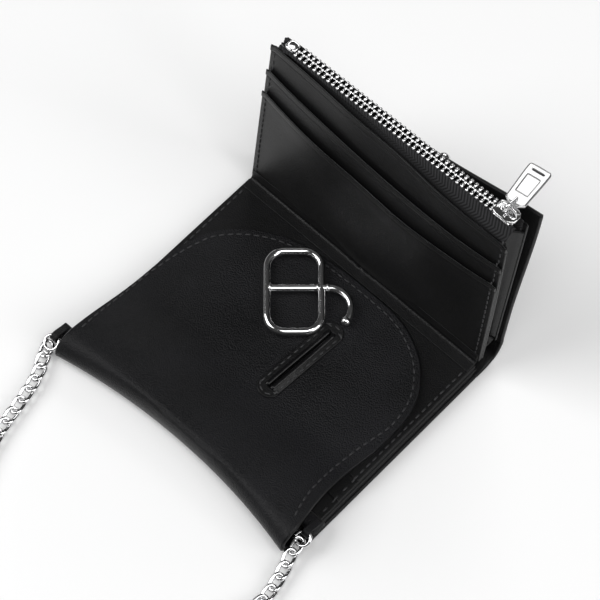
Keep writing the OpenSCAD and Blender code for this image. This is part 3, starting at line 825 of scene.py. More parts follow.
@dataclass
class Chain:
    """One long curb chain from ring to ring, its spare length in a flat coil."""

    pitch: float = 4.8
    link_l: float = 8.1
    link_w: float = 5.4
    wire: float = 1.52
    coil: tuple[float, float] = (86.0, -106.0)
    low: float = 2.6
    high: float = 7.9

    def route(self) -> Route:
        """The chain's way, in metres."""
        first = spline([(-61.1, -50.4, 2.2), (-60.2, -52.6, 2.5), (-55.6, -61, 2.6), (-52.8, -72, 2.6),
                        (-50.2, -84, 2.6), (-46, -96, 2.6), (-39, -108, 2.6), (-29, -119, 2.6), (-17, -129, 2.6),
                        (-3, -137.5, 2.6), (12, -143, 2.6), (27, -145.5, 2.6), (42, -146, 2.6), (57, -144.5, 2.6),
                        (70, -140.6, 2.6), (78.4, -137.0, 2.6)], 8)
        cx, cy = self.coil
        outer, inner = 31.2, 12.8
        start, wound = -90.0, 1141.2
        steps = 190

        def spot(angle: float, r: float, z: float) -> Vector:
            """A point of the coil."""
            return Vector((cx + r * math.cos(angle), cy + r * math.sin(angle), z))

        points = [spot(math.radians(start + wound * k / steps), outer + (inner - outer) * k / steps, self.low)
                  for k in range(4, steps + 1)]
        turn = math.radians(start + wound)
        toward = Vector((math.cos(turn), math.sin(turn), 0))
        side = Vector((-math.sin(turn), math.cos(turn), 0))
        half = inner / 2
        for k in range(1, 25):
            b = math.pi * k / 12
            if b <= math.pi:
                p = toward * (half + half * math.cos(b)) + side * half * math.sin(b)
            else:
                p = side * half * math.sin(b) - toward * (half + half * math.cos(b))
            points.append(p + Vector((cx, cy, self.low + (self.high - self.low) * smooth_step(k / 24))))
        unwound = math.radians((start + wound) % 360 + 720)
        points += [spot(turn + math.pi - unwound * k / steps, inner + (outer - inner) * k / steps, self.high)
                   for k in range(1, steps + 1)]
        last = spline([tuple(points[-1]), (54.9, -97, 7.4), (56, -89, 6.6), (58.4, -78, 4.2), (60.2, -67, 2.8),
                       (58.7, -57, 2.6), (56.9, -51.5, 3.0), (55.9, -47.8, 4.1), (55.5, -45.0, 4.8)], 8)
        return [p * MM for p in [*first, *points, *last[1:]]]

    def link(self) -> Object:
        """One curb link: an oval of wire with its four quarters bent up and down in turn."""
        a, b, r = (self.link_l - self.wire) / 2 * MM, (self.link_w - self.wire) / 2 * MM, self.wire / 2 * MM
        path = []
        for t in turns(16):
            c, s = math.cos(t), math.sin(t)
            path.append(Vector((a * math.copysign(abs(c) ** 0.8, c), b * math.copysign(abs(s) ** 0.8, s),
                                0.62 * r * math.sin(2 * t))))
        return swept("curb_link", path, lambda t: (r, r), 6, UP, closed=True)

    def build(self, repeater: Repeater, wardrobe: Wardrobe) -> None:
        route = self.route()
        length = sum((b - a).length for a, b in zip(route, route[1:]))
        count = max(3, round(length / (self.pitch * MM)))
        unit = self.link()
        chain = repeater.run("curb_chain", [even_route(route, count * 3)], [[UP] * (count * 3)], unit,
                             self.pitch * MM, wardrobe.polished, 0.07, 7)
        bpy.data.objects.remove(unit)
        settle(chain, Body.BACK, Slot.POLISHED, "chain_left", "chain_right", "chain_coil")
        tuple(route[0])
        [tuple(p) for p in even_route(route, 420)]
        log.info("chain: %.3f m", length)


# ---- stitching


class Sewing:
    """Rows of stitches."""

    pitch = 0.0031
    wobble = 0.06
    seed = 3

    def __init__(self, repeater: Repeater, wardrobe: Wardrobe) -> None:
        """Make the stitch that every row repeats."""
        self.repeater = repeater
        self.thread = wardrobe.thread
        r = 0.00035
        self.unit = tube("stitch", [[Vector((x, r * width * math.cos(t), r * width * math.sin(t))) for t in turns(6)]
                                    for x, width in ((-0.00108, 0.3), (-0.00085, 0.85), (-0.0003, 1), (0.0003, 1),
                                                     (0.00085, 0.85), (0.00108, 0.3))])

    def row(self, name: str, routes: Sequence[Route], *ups: Vector) -> Object:
        """Sew rows of stitches.

        Args:
            name: The piece's name.
            routes: The rows' lines, in metres.
            ups: The leather's outward direction at each row, or one for all.

        Returns:
            The stitches as one piece.
        """
        tops = [[ups[min(k, len(ups) - 1)]] * len(route) for k, route in enumerate(routes)]
        return self.repeater.run(name, routes, tops, self.unit, self.pitch, self.thread, self.wobble, self.seed)

    def done(self) -> None:
        """Put the spare stitch away."""
        bpy.data.objects.remove(self.unit)


# ---- flap


@dataclass
class Flap:
    """The rounded flap with its fold, slot, welts, stitches and the metal on it."""

    outline: Sequence[tuple[float, float]] = (
        (-56, -42), (-56.3, -30), (-56.2, -18), (-56, -8), (-54.9, 0), (-54, 5.5), (-52, 13.5), (-49, 21.5),
        (-42.5, 29), (-35, 34.5), (-27, 38.2), (-17, 40.8), (-8, 41.9), (3, 42.4), (14, 42.4), (23, 41.8), (31, 39.5),
        (40, 34.5), (47, 27), (50.5, 19.5), (51.9, 10.5), (51.4, 1), (50.6, -9), (50.2, -20), (50.6, -30), (52, -38),
        (53, -42))
    slot: tuple[tuple[float, float], tuple[float, float]] = ((8.7, -9.1), (10.4, 21.0))
    inset: float = 2.2
    run: float = 34.0
    left: float = -56.0
    width: float = 109.0
    fold_share: float = 0.2

    def bow(self, x: float) -> float:
        """How far the fold's front stands back from straight, at a place across the flap."""
        return 4.4 - 6.4 * (x / 54) ** 2

    def top(self, x: float, y: float) -> float:
        """Height of the flap's upper face."""
        run = y - AT.fold_y - 0.35 * self.bow(x) * (1 - smooth_step((y - AT.fold_y) / self.run))
        rise = 4.7 * (1 + math.cos(math.pi * min(max(run / self.run, 0.0), 1.0))) / 2
        swell = 0.32 * math.sin(x * 0.083 + 0.6) * math.sin(y * 0.071 + 1.1)
        swell += 0.22 * math.sin(x * 0.031 - 1.2) * math.sin(y * 0.152)
        rim = min(1.0, max(0.0, (42 - abs(x)) / 18)) * min(1.0, max(0.0, (38 - y) / 12))
        return AT.flap_z + AT.flap_t + rise + (0.15 + swell) * rim * smooth_step(run / 12)

    def edge(self) -> Route:
        """The outline as an even line in millimetres, from the fold's left end round the tip to its right end."""
        return even_route(spline([(x, y, 0) for x, y in self.outline], 8), 241)

    @staticmethod
    def drawn_in(u: float, t: float) -> float:
        """How far the right side is drawn in, at a share across and a share of the way out."""
        return 2.2 * u ** 4 * math.sin(math.pi * min(t * 1.2, 1.0))

    def slot_lines(self) -> tuple[Vector, Vector, Vector, Vector]:
        """The slot's two ends, and the directions along it and across it."""
        a, b = (Vector((*end, 0)) for end in self.slot)
        ahead = (b - a).normalized()
        return a, b, ahead, Vector((ahead.y, -ahead.x, 0))

    def on_top(self, p: Vector, above: float) -> Vector:
        """A place on the flap's upper face, raised by some millimetres, in metres."""
        return Vector((p.x, p.y, self.top(p.x, p.y) + above)) * MM

    def surface(self) -> Surface:
        """The flap's middle surface: round the fold, then out to the tip."""
        edge = self.edge()

        def at(u: float, v: float) -> Vector:
            """A point across (u) and along (v) the flap, the fold being its first part."""
            tip = point_along(edge, 0.2 + 0.6 * u)
            root_x = self.left + self.width * u
            if v < self.fold_share:
                a = math.radians(-90 + 180 * v / self.fold_share)
                r = AT.fold_r - AT.flap_t / 2
                back = self.bow(root_x) * math.cos(a) ** 0.7 if math.cos(a) > 0 else 0.0
                return Vector((root_x, AT.fold_y - r * math.cos(a) + back, AT.fold_r + r * math.sin(a))) * MM
            t = (v - self.fold_share) / (1 - self.fold_share)
            x = root_x + (tip.x - root_x) * t - self.drawn_in(u, t)
            y = AT.fold_y + (tip.y - AT.fold_y) * t
            return Vector((x, y, self.top(x, y) - AT.flap_t / 2)) * MM

        return at

    def blended(self, obj: Object) -> Object:
        """Let a piece bend round the fold."""
        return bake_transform(obj, Body.BACK.value, Body.FLAP.value, (0, AT.fold_y * MM, 0),
                        (0, (AT.fold_y + 2.115) * MM, 0.010577))

    def build_leather(self, wardrobe: Wardrobe) -> None:
        """Build the flap's leather with its slot."""
        us = samples(64, 0.004)
        vs = [0.2 * t for t in samples(14, 0.03)[:-2]] + [0.2 + 0.8 * t for t in samples(56, 0.004) if t != 0.004]
        skin = Skin("flap_leather", self.surface(), us, vs, AT.flap_t * MM, 0.3,
                    [wardrobe.pebbled, wardrobe.smooth, wardrobe.edge]).build()
        a, b, _, side = self.slot_lines()
        side = side * 2.4
        corners = (a - side, a + side, b + side, b - side)
        punch(skin, [tube("slot_cutter", [lift((p.x, p.y, z) for p in corners) for z in (2, 16)])])
        self.blended(skin)
        claim(skin, Slot.PEBBLED, "flap_outer", "flap_lining", "flap_fold")

    def build_welts(self, wardrobe: Wardrobe) -> None:
        """Build the two glossy strips that line the slot."""
        a, b, _, side = self.slot_lines()
        for sign, name in ((-1, "slot_welt_left"), (1, "slot_welt_right")):
            middle = [a + (b - a) * (-0.012 + 1.024 * t) for t in samples(24)]
            path = [self.on_top(p + side * sign * (1.22 + 0.06 * math.sin(5 * t)), 0.22)
                    for p, t in zip(middle, samples(24))]
            welt = dress(swept(name, path, lambda t: (0.00088, 0.00062), 10, UP), wardrobe.gloss)
            settle(welt, Body.FLAP, Slot.PEBBLED, *(["slot_welts"] if sign < 0 else []))

    def build_patch(self, wardrobe: Wardrobe) -> None:
        """Build the raised border with round ends that is sewn round the slot."""
        a, b, ahead, side = self.slot_lines()
        inner, outer, over = 1.95, 4.35, 4.1

        def at(u: float, v: float) -> Vector:
            """A point round the border (u) and from its inside to its outside (v)."""
            c, s = math.cos(2 * math.pi * u), math.sin(2 * math.pi * u)
            reach = inner + (outer - inner) * v
            return self.on_top((b if s > 0 else a) + side * reach * c + ahead * over * s * (0.12 + 0.88 * v), 0.12)

        patch = Skin("slot_border", at, samples(96), samples(8, 0.05), 0.75 * MM, 0.35,
                     [wardrobe.smooth, wardrobe.smooth, wardrobe.edge]).build()
        settle(patch, Body.FLAP, Slot.PEBBLED)

    def build_stitches(self, sewing: Sewing) -> None:
        """Sew round the edge and round the slot."""
        edge = self.edge()
        route: Route = []
        for k in range(4, len(edge) - 4):
            ahead = (edge[k + 1] - edge[k - 1]).normalized()
            p = edge[k] + Vector((ahead.y, -ahead.x, 0)) * self.inset
            if p.x > 0:
                p.x -= self.drawn_in((p.x - self.left) / self.width, max((p.y - AT.fold_y) / 60, 0))
            route.append(self.on_top(p, 0.05))
        a, b, ahead, side = self.slot_lines()
        half, over = 3.4, 2.85
        oval = [(b if math.sin(t) > 0 else a) + side * half * math.cos(t) + ahead * over * math.sin(t)
                for t in [*turns(60), 2 * math.pi]]
        ring = [self.on_top(p, 0.42) for p in even_route(spline([tuple(p) for p in oval], 2), 120)]
        settle(sewing.row("flap_stitches", [route, ring], UP), Body.FLAP, Slot.PEBBLED)

    def build_metal(self, wardrobe: Wardrobe) -> None:
        """Finish the ornament with collars where its rods meet, and polish it."""
        centre, turn = Vector((-10.0, 23.5, 10.65)), math.radians(43.3)
        spin = Matrix.Rotation(turn, 3, "Z")
        for number, (u, v) in enumerate(((-9.7, 1.2), (9.7, 1.2), (12.0, 1.2)), 1):
            middle = (centre + spin @ Vector((u, v, 0))) * MM
            ahead = spin @ Vector((1, 0, 0))
            offset = 0.0013 if u < 0 else -0.0013 if u < 12 else 0.0
            path = [middle + ahead * (offset + 0.0011 * (t - 0.5)) for t in (0, 0.2, 0.4, 0.6, 0.8, 1)]
            collar = swept(f"ornament_collar_{number}", path,
                           lambda t: (0.00162 + 0.00018 * math.sin(math.pi * t),) * 2, 20, UP)
            settle(dress(collar, wardrobe.polished), Body.FLAP, Slot.POLISHED)

    def build(self, wardrobe: Wardrobe, sewing: Sewing) -> None:
        """Build every piece of the flap."""
        self.build_leather(wardrobe)
        self.build_welts(wardrobe)
        self.build_patch(wardrobe)
        self.build_stitches(sewing)
        self.build_metal(wardrobe)


# ---- back panel


@dataclass
class BackPanel:
    """The panel that lies flat: outer shell, core, card base and three stepped card pockets."""

    pockets: tuple[tuple[str, float], ...] = (
        ("back_card_pocket_1", -33.3), ("back_card_pocket_2", -23.3), ("back_card_pocket_3", -13.3))

    def slab(self, name: str, box: tuple[float, float, float, float, float, float], wardrobe: Wardrobe,
             sag: float = 0.0, bow: float = 0.0) -> Object:
        """A thin soft-edged layer.

        Args:
            name: The piece's name.
            box: Low x, high x, low y, high y, low z and high z, in millimetres.
            wardrobe: The finishes.
            sag: How unevenly the layer lies, in millimetres.
            bow: How far its front edge stands back in the middle.

        Returns:
            The piece.
        """
        x0, x1, y0, y1, z0, z1 = box

        def at(u: float, v: float) -> Vector:
            """A point across and along the layer."""
            x = x0 + (x1 - x0) * u
            y = y0 + (y1 - y0) * v + bow * math.sin(math.pi * u) * (1 - v) ** 2
            z = (z0 + z1) / 2 + sag * math.sin(x * 0.11 + y * 0.05) * math.sin(y * 0.09 + 0.4)
            return Vector((x, y, z)) * MM

        return Skin(name, at, samples(36, 0.004), samples(24, 0.006), (z1 - z0 - 0.06) * MM, 0.35,
                    [wardrobe.smooth, wardrobe.pebbled, wardrobe.edge]).build()

    def build(self, wardrobe: Wardrobe, sewing: Sewing) -> None:
        """Build the layers and sew the mouth's edge."""
        layers = [("back_outer", (AT.left, AT.mouth, -42, 46, 0.02, 1.4), 0.0, 0.0, "back_shell"),
                  ("back_note_lining", (AT.left, 55.6, -39, 46, 1.4, 1.9), 0.0, 0.0, "back_bill_lining"),
                  ("back_sewn_edge", (AT.left, -52, -39, 46, 1.9, 3.1), 0.0, 0.0, "back_edge_seam"),
                  ("back_sewn_front", (AT.left, AT.right, -41.5, -39, 1.9, 3.1), 0.0, 0.0, ""),
                  ("back_card_leaf", (AT.left, AT.right + 0.6, -41.2, 47.4, 3.1, 3.9), 0.03, 0.0, "back_card_base")]
        for number, (node, start) in enumerate(self.pockets):
            low = 3.9 + 0.7 * number
            layers.append((node + "_leaf", (AT.left, AT.right, start, 47.0 + 0.2 * number, low, low + 0.7), 0.03, 0.8,
                           node))
        for name, box, sag, bow, node in layers:
            settle(self.slab(name, box, wardrobe, sag, bow), Body.BACK,
                   Slot.PEBBLED if node == "back_shell" else Slot.SMOOTH, *([node] if node else []))
        routes = [even_route(lift([(side, y0, z), (side, y1, z)]), 30) for side in (AT.left + 1.6, AT.right - 1.6)
                  for y0, y1, z in ((-41, -33.8, 3.9), (-32.8, -23.8, 4.6), (-22.8, -13.8, 5.3), (-12.8, 44.5, 6.0))]
        settle(sewing.row("back_stitches", routes, UP), Body.BACK, Slot.SMOOTH)


# ---- folding panel


@dataclass
class FoldingPanel:
    """The standing panel: card pockets, zipped coin pocket, outer shell and spine."""

    half: float = 55.0

    def bulge(self, x: float, z: float) -> float:
        """How far the front layers swell towards the open side."""
        across = max(0.0, 1 - (x / self.half) ** 2)
        tall = math.sin(math.pi * min(max(z / 80.0, 0.0), 1.0)) ** 0.8
        ripple = 0.35 * math.sin(x * 0.13 + z * 0.05) * math.sin(z * 0.09 + 0.7) * across
        foot = 0.7 * math.exp(-((x + 2) / 10) ** 2 - ((z - 5) / 5) ** 2)
        return 2.8 * across ** 0.8 * tall + ripple + foot + AT.lean_across(x) * AT.lean_up(z)

    def wall(self, name: str, depth: float, thickness: float, foot: float, edge: Callable[[float], float],
             wardrobe: Wardrobe, crease: bool, splayed: float = 0.0, swell: float = 1.0) -> Object:
        """One leather layer of the panel.

        Args:
            name: The piece's name.
            depth: The middle of its thickness, behind the spine's axis.
            thickness: Its thickness.
            foot: Height of its lower edge.
            edge: Height of its upper edge at a place across.
            wardrobe: The finishes.
            crease: Whether a line is pressed below its turned edge.
            splayed: The share of the rear layers' turn that it takes.
            swell: The share of the panel's bulge that it takes.

        Returns:
            The piece.
        """
        def at(u: float, v: float) -> Vector:
            """A point across and up the layer."""
            x = -self.half + 2 * self.half * u
            top = edge(x)
            z = foot + (top - foot) * v
            lip = 0.55 * smooth_step((z - top + 12) / 12) * (1 - (x / self.half) ** 4) if crease else 0.0
            pressed = 0.3 * math.exp(-((top - z - 2.95) / 0.3) ** 2) if crease else 0.0
            turned = 0.5 * smooth_step((z - top + 2.75) / 0.4) if crease else 0.0
            return AT.panel(x, depth - swell * self.bulge(x, z) - lip - turned + pressed, z, splayed)

        fine = [1 - d / (edge(0) - foot) for d in (2.2, 2.4, 2.5, 2.6, 2.75, 2.9, 3.1, 3.4)]
        rows = sorted({*samples(40, 0.004), *fine})
        rows = [v for k, v in enumerate(rows) if k == 0 or v - rows[k - 1] > 0.0015]
        return Skin(name, at, samples(56, 0.003), rows, thickness * MM, 0.38,
                    [wardrobe.smooth, wardrobe.smooth, wardrobe.gloss]).build()

    def build_walls(self, wardrobe: Wardrobe) -> None:
        """Build the pockets' layers."""
        def dip(height: float, sag: float, tilt: float) -> Callable[[float], float]:
            """An edge that sags in its middle and is rounded at its ends."""
            return lambda x: (height - sag * (1 - (x / self.half) ** 2) + tilt * x / self.half
                              - 1.1 * (1 - smooth_step((self.half - abs(x)) / 2.2)))

        def rear_top(x: float) -> float:
            """The rear wall's edge, lower at its left corner."""
            return 79 - 5.5 * (1 - smooth_step((x + 55) / 7))

        for name, depth, thickness, foot, edge, crease, node in (
                ("lower_card_pocket", 0.55, 0.74, 1.2, dip(53.5, 2.4, -0.3), True, "card_pocket_lower"),
                ("upper_card_pocket", 1.4, 0.74, 1.2, dip(65, 2.2, -0.6), True, "card_pocket_upper"),
                ("coin_pocket_front", 2.3, 0.92, 1.2, dip(AT.mouth_z, 0.3, -AT.mouth_tilt), True, "coin_front_wall"),
                ("coin_pocket_rear", 7.62, 0.84, 5.6, rear_top, False, "coin_rear_wall")):
            wall = self.wall(name, depth, thickness, foot, edge, wardrobe, crease, float(not crease), float(crease))
            settle(wall, Body.FOLDING, Slot.SMOOTH, node)

        def gusset(side: int) -> Surface:
            """The surface of a closed side of the coin pocket, which folds inwards."""
            def at(u: float, v: float) -> Vector:
                """A point through and up the side."""
                z = 8 + 66.5 * v
                near = 2.85 - (AT.mouth_lean * AT.lean_up(z) if side > 0 else 0.0)
                far = AT.rear_y + (1.3 if side > 0 else 0.0)
                return AT.panel(side * (self.half - 0.6) - side * 5.0 * (1 - abs(2 * u - 1)) ** 0.75,
                                near + (far - near) * u, z)

            return at

        def bottom(u: float, v: float) -> Vector:
            """A point of the coin pocket's closed bottom."""
            reach = AT.rear_y + 1.3 * u - 0.1
            return AT.panel(-54 + 108 * u, 2.9 + (reach - 2.9) * v, 6.6 - 0.9 * math.sin(math.pi * v))

        def strip(u: float, v: float) -> Vector:
            """A point of the sewn edge that closes the note space."""
            return AT.panel(-54.8 + 2.6 * u, 8.38, 6.5 + 68 * v, 1.0)

        for name, surface, us, vs, thickness, node in (
                ("coin_side_left_gusset", gusset(-1), samples(8), samples(30, 0.01), 0.6, "coin_side_left"),
                ("coin_side_right_gusset", gusset(1), samples(8), samples(30, 0.01), 0.6, "coin_side_right"),
                ("coin_pocket_bottom", bottom, samples(30), samples(6), 1.2, "coin_floor"),
                ("note_space_seam", strip, samples(4), samples(20), 0.44, "front_edge_seam")):
            piece = Skin(name, surface, us, vs, thickness * MM, 0.3, [wardrobe.smooth]).build()
            settle(piece, Body.FOLDING, Slot.SMOOTH, node)

    def shell_top(self, x: float) -> float:
        """Height of the outer shell's edge."""
        t = (x - AT.left) / (AT.mouth - AT.left)
        return 74.2 + 0.4 * t + 6.2 * t ** 3

    def shell_point(self, x: float, v: float) -> Vector:
        """A point of the outer leather, from the back panel round the spine (v below 0.3) to the shell's edge."""
        if v < 0.3:
            knots = [Vector((x, 46.0, 0.95)), Vector((x, 51.0, 0.95)), Vector((x, 56.6, 2.9)), Vector((x, 59.4, 7.6)),
                     AT.panel(x, 9.45, 6.2, 1.0) / MM, AT.panel(x, 9.5, 12.0, 1.0) / MM]
            p = point_along(spline([tuple(k) for k in knots], 8), 0.8 * v / 0.3)
            return Vector((x, p.y, p.z)) * MM
        t = (v - 0.3) / 0.7
        z = 6.2 + (self.shell_top(x) - 6.2) * t
        flare = 3.2 * smooth_step((x - 5) / 50) * smooth_step((z - 20) / 56)
        wave = 0.5 * math.sin(z * 0.07 + x * 0.03) * math.sin(math.pi * t) * math.sin(math.pi * (x + 55) / 112)
        return AT.panel(x, 9.45 + flare + max(wave, -0.2), z, 1.0)

    def build_shell(self, wardrobe: Wardrobe) -> None:
        """Build the outer shell and the spine as one leather."""
        def at(u: float, v: float) -> Vector:
            """A point across and along the leather."""
            return self.shell_point(AT.mouth - (AT.mouth - AT.left) * u, v)

        rows = sorted({*[0.3 * t for t in samples(20)], *[0.3 + 0.7 * t for t in samples(40, 0.005)]} - {0.3035})
        skin = Skin("outer_leather", at, samples(56, 0.003), rows, 1.5 * MM, 0.36,
                    [wardrobe.pebbled, wardrobe.smooth, wardrobe.edge]).build()
        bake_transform(skin, Body.BACK.value, Body.FOLDING.value, (0, 0.0475, 0.0), (0, 0.0585, 0.0105))
        claim(skin, Slot.PEBBLED, "spine_shell", "front_shell", "spine_lining")

        def gutter(u: float, v: float) -> Vector:
            """A point across and over the inner spine, crumpled where the leather is pushed together."""
            x = -54.6 + 109.2 * u
            knots = [(x, 43.6, 6.35), (x, 46.2, 6.4), (x, 47.7, 6.55), (x, 48.45, 7.4), (x, 48.6, 9.2), (x, 48.9, 11.4)]
            p = point_along(spline(knots, 6), v)
            fold = 0.5 * math.exp(-((x + 1) / 7) ** 2) * math.sin(v * math.pi) * math.sin(x * 0.9)
            return Vector((p.x, p.y - abs(fold), p.z + 0.3 * fold)) * MM

        inner = Skin("inner_spine", gutter, samples(90, 0.003), samples(20, 0.02), 0.3 * MM, 0.3,
                     [wardrobe.smooth]).build()
        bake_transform(inner, Body.BACK.value, Body.FOLDING.value, (0, 0.0455, 0.0062), (0, 0.0485, 0.0092))
        claim(inner, Slot.SMOOTH)

    def build_stitches(self, sewing: Sewing) -> None:
        """Sew the pockets' sides, the zip and the shell's edge."""
        back = AT.panel_dir(0, 1, 0)
        routes = [[AT.panel(x, depth - 0.42 - self.bulge(x, z), z) for z in (z0 + (z1 - z0) * t for t in samples(30))]
                  for x in (-53.2, 53.2) for z0, z1, depth in ((2, 53, 0.55), (54.3, 64.6, 1.4), (65.6, 77.6, 2.3))]
        routes.append([AT.panel(x, 1.8 - self.bulge(x, 76), 76.1 - AT.mouth_tilt * x / 55)
                       for x in (-52 + 104 * t for t in samples(80))])
        settle(sewing.row("pocket_stitches", routes, -back), Body.FOLDING, Slot.SMOOTH)
        line = [self.shell_point(-53 + 107.5 * t, 0.3 + 0.7 * (1 - 2.3 / 70)) for t in samples(100)]
        line += [self.shell_point(54.5, 0.97 - 0.6 * t) for t in samples(60)]
        shell = sewing.row("shell_stitches", [[p + back * 0.00078 for p in line]], back)
        settle(shell, Body.FOLDING, Slot.PEBBLED)

    def build(self, wardrobe: Wardrobe, sewing: Sewing) -> None:
        """Build every layer of the panel."""
        self.build_walls(wardrobe)
        self.build_shell(wardrobe)
        self.build_stitches(sewing)


# ---- zip


@dataclass
class Zip:
    """Tapes, teeth, stops, slider and puller."""

    start: float = -45.5
    pitch: float = 2.14
    teeth: int = 43
    edge: float = 2.1
    slider_x: float = 47.82
    slider_l: float = 9.0
    puller_l: float = 18.6
    puller_w: float = 8.6
    puller_droop: float = 9.0
    puller_turn: float = 10.0
    link_reach: float = 3.7

    def at(self, x: float, y: float, z: float) -> Vector:
        """A point of the zip, from its middle line."""
        return AT.panel(x, AT.zip_y + y, AT.zip_z + z, 1.0)

    def build_tapes(self, wardrobe: Wardrobe) -> None:
        """Build the two woven tapes."""
        def drop(x: float) -> float:
            """How far the tapes' left ends droop."""
            return 2.6 * smooth_step((-47.5 - x) / 5)

        def front(u: float, v: float) -> Vector:
            """A point along and across the front tape."""
            x = 53.4 - 105.8 * u
            out = AT.lean_across(x)
            top = AT.mouth_z - AT.mouth_tilt * x / 55
            knots = [AT.panel(x, 3.02 - out * 0.85, 70.5), AT.panel(x, 3.02 - out, top - 1.2),
                     AT.panel(x, 3.1 - out * 0.98, top + 0.35),
                     self.at(x, -self.edge - 0.9 - out * 0.25, -0.7 - drop(x) - 0.15 * math.sin(x * 0.21)),
                     self.at(x, -self.edge + 0.15, -drop(x))]
            return point_along(spline([tuple(k) for k in knots], 6), v)

        def rear(u: float, v: float) -> Vector:
            """A point along and across the rear tape."""
            x = -52.4 + 105.8 * u
            knots = [AT.panel(x, AT.rear_y - 0.22, 70.5, 1.0), AT.panel(x, AT.rear_y - 0.22, 77.5, 1.0),
                     AT.panel(x, AT.rear_y - 0.3, 79.9, 1.0), self.at(x, self.edge + 0.2, -0.1 - drop(x)),
                     self.at(x, self.edge - 0.15, -drop(x))]
            return point_along(spline([tuple(k) for k in knots], 6), v)

        for name, surface, node in (("front_tape", front, "zip_tape_front"), ("rear_tape", rear, "zip_tape_rear")):
            tape = Skin(name, surface, samples(90), samples(24), 0.34 * MM, 0.3, [wardrobe.tape]).build()
            settle(tape, Body.FOLDING, Slot.TAPE, node)

    def tooth(self, sign: int) -> Object:
        """One cast tooth: a rounded bar with a raised head and a hollow behind it, reaching towards the other row."""
        profile = [(-0.5, 0.42, 0.6), (-0.4, 0.58, 0.72), (0.85, 0.58, 0.76), (1.05, 0.44, 0.55), (1.65, 0.42, 0.5),
                   (1.85, 0.56, 0.8), (2.25, 0.54, 0.72), (2.4, 0.36, 0.5)]
        return tube("tooth", [[Vector((half_x * cx, sign * (y - 2.05), half_z * cz)) * MM for cx, cz in octagon(0.55)]
                              for y, half_x, half_z in profile])

    def build_teeth(self, repeater: Repeater, wardrobe: Wardrobe) -> None:
        """Set both rows of teeth, then the stops."""
        up = AT.panel_dir(0, 0, 1, 1.0)
        for name, sign, shift, node in (("teeth_front", 1, 0.0, "zip_teeth_front"),
                                        ("teeth_rear", -1, 0.5, "zip_teeth_rear")):
            unit = self.tooth(sign)
            first = self.start + 0.475 + shift * self.pitch
            line = [self.at(first, 0, 0), self.at(first + (self.teeth - 1) * self.pitch, 0, 0)]
            row = repeater.run(name, [line], [[up] * 2], unit, self.pitch * MM, wardrobe.polished, 0.02, 5)
            bpy.data.objects.remove(unit)
            settle(row, Body.FOLDING, Slot.POLISHED, node)
        low, high = self.slider_x + 2.5, self.slider_x + 3.9
        for name, box, rounding, nodes in (
                ("bottom_stop", (self.start - 4.8, self.start - 0.4, -2.1, 2.1, -1.0, 1.0), 0.35, ["zip_bottom_stop"]),
                ("top_stop_front", (low, high, -2.1, -0.9, -0.8, 0.8), 0.25, ["zip_top_stops"]),
                ("top_stop_rear", (low, high, 0.9, 2.1, -0.8, 0.8), 0.25, [])):
            settle(dress(self.block(name, box, rounding), wardrobe.polished), Body.FOLDING, Slot.POLISHED, *nodes)

    def block(self, name: str, box: Sequence[float], rounding: float) -> Object:
        """A rounded block of the zip with a shallow dent in its top."""
        x0, x1, y0, y1, z0, z1 = box
        half_x, half_y = (x1 - x0) / 2, (y1 - y0) / 2
        rings = [(half_x - cut, half_y - cut, z) for cut, z in
                 ((rounding, z0), (0.0, z0 + rounding), (0.0, z1 - rounding), (rounding, z1))]
        rings.append((half_x * 0.6, half_y * 0.6, z1 - rounding * 0.5))
        return tube(name, [[self.at((x0 + x1) / 2 + a * sx, (y0 + y1) / 2 + b * sy, z) for sx, sy in octagon(0.6)]
                           for a, b, z in rings])

    def plate(self, name: str, outline: Sequence[tuple[float, float]], z0: float, z1: float,
              rounding: float) -> Object:
        """A bevelled plate of the slider."""
        def shrunk(inset: float, z: float) -> Route:
            """The outline drawn in towards its middle."""
            shares = [(x, y, 1 - inset / math.hypot(x, y)) for x, y in outline]
            return [self.at(self.slider_x + x * share, y * share, z) for x, y, share in shares]

        soft = rounding * 0.3
        return tube(name, [shrunk(inset, z) for inset, z in (
            (rounding, z0), (soft, z0 + soft), (0.0, z0 + rounding), (0.0, z1 - rounding), (soft, z1 - soft),
            (rounding, z1))])

    def build_slider(self, wardrobe: Wardrobe) -> None:
        """Build the slider's top plate with its rims, and its oval bridge."""
        a, b = self.slider_l / 2, 3.3
        outline = [(-a, -b + 1.0), (-a + 0.5, -b + 0.5), (-a + 1.8, -b), (a - 2.0, -b), (a - 0.7, -b + 0.9),
                   (a, -b + 1.9), (a, b - 1.9), (a - 0.7, b - 0.9), (a - 2.0, b), (-a + 1.8, b), (-a + 0.5, b - 0.5),
                   (-a, b - 1.0)]
        plate = dress(self.plate("slider_plate", outline, 1.1, 2.1, 0.3), wardrobe.polished)
        settle(plate, Body.SLIDER, Slot.POLISHED, "slider_top")
        for sign, name in ((-1, "slider_rim_front"), (1, "slider_rim_rear")):
            path = [self.at(self.slider_x + x, sign * y, 0.85) for x, y in
                    ((-a + 0.6, 2.88), (-a + 1.9, 2.94), (0, 2.94), (a - 2.1, 2.94), (a - 1.1, 2.9))]
            rim = swept(name, path, lambda t: (0.00042, 0.0003), 10, AT.panel_dir(0, 0, 1, 1.0))
            settle(dress(rim, wardrobe.polished), Body.SLIDER, Slot.POLISHED)
        rising = [(3.0, 1.9), (3.05, 2.8), (2.9, 3.9), (2.3, 4.7), (1.2, 5.0)]
        arch = [self.at(self.slider_x + x, 0, z) for x, z in
                [*[(-x, z) for x, z in rising], (0, 5.05), *reversed(rising)]]
        bridge = swept("slider_bridge", spline([tuple(p) for p in arch], 4), lambda t: (0.00085, 0.00052), 14,
                       AT.panel_dir(0, 1, 0, 1.0))
        settle(dress(bridge, wardrobe.polished), Body.SLIDER, Slot.POLISHED)

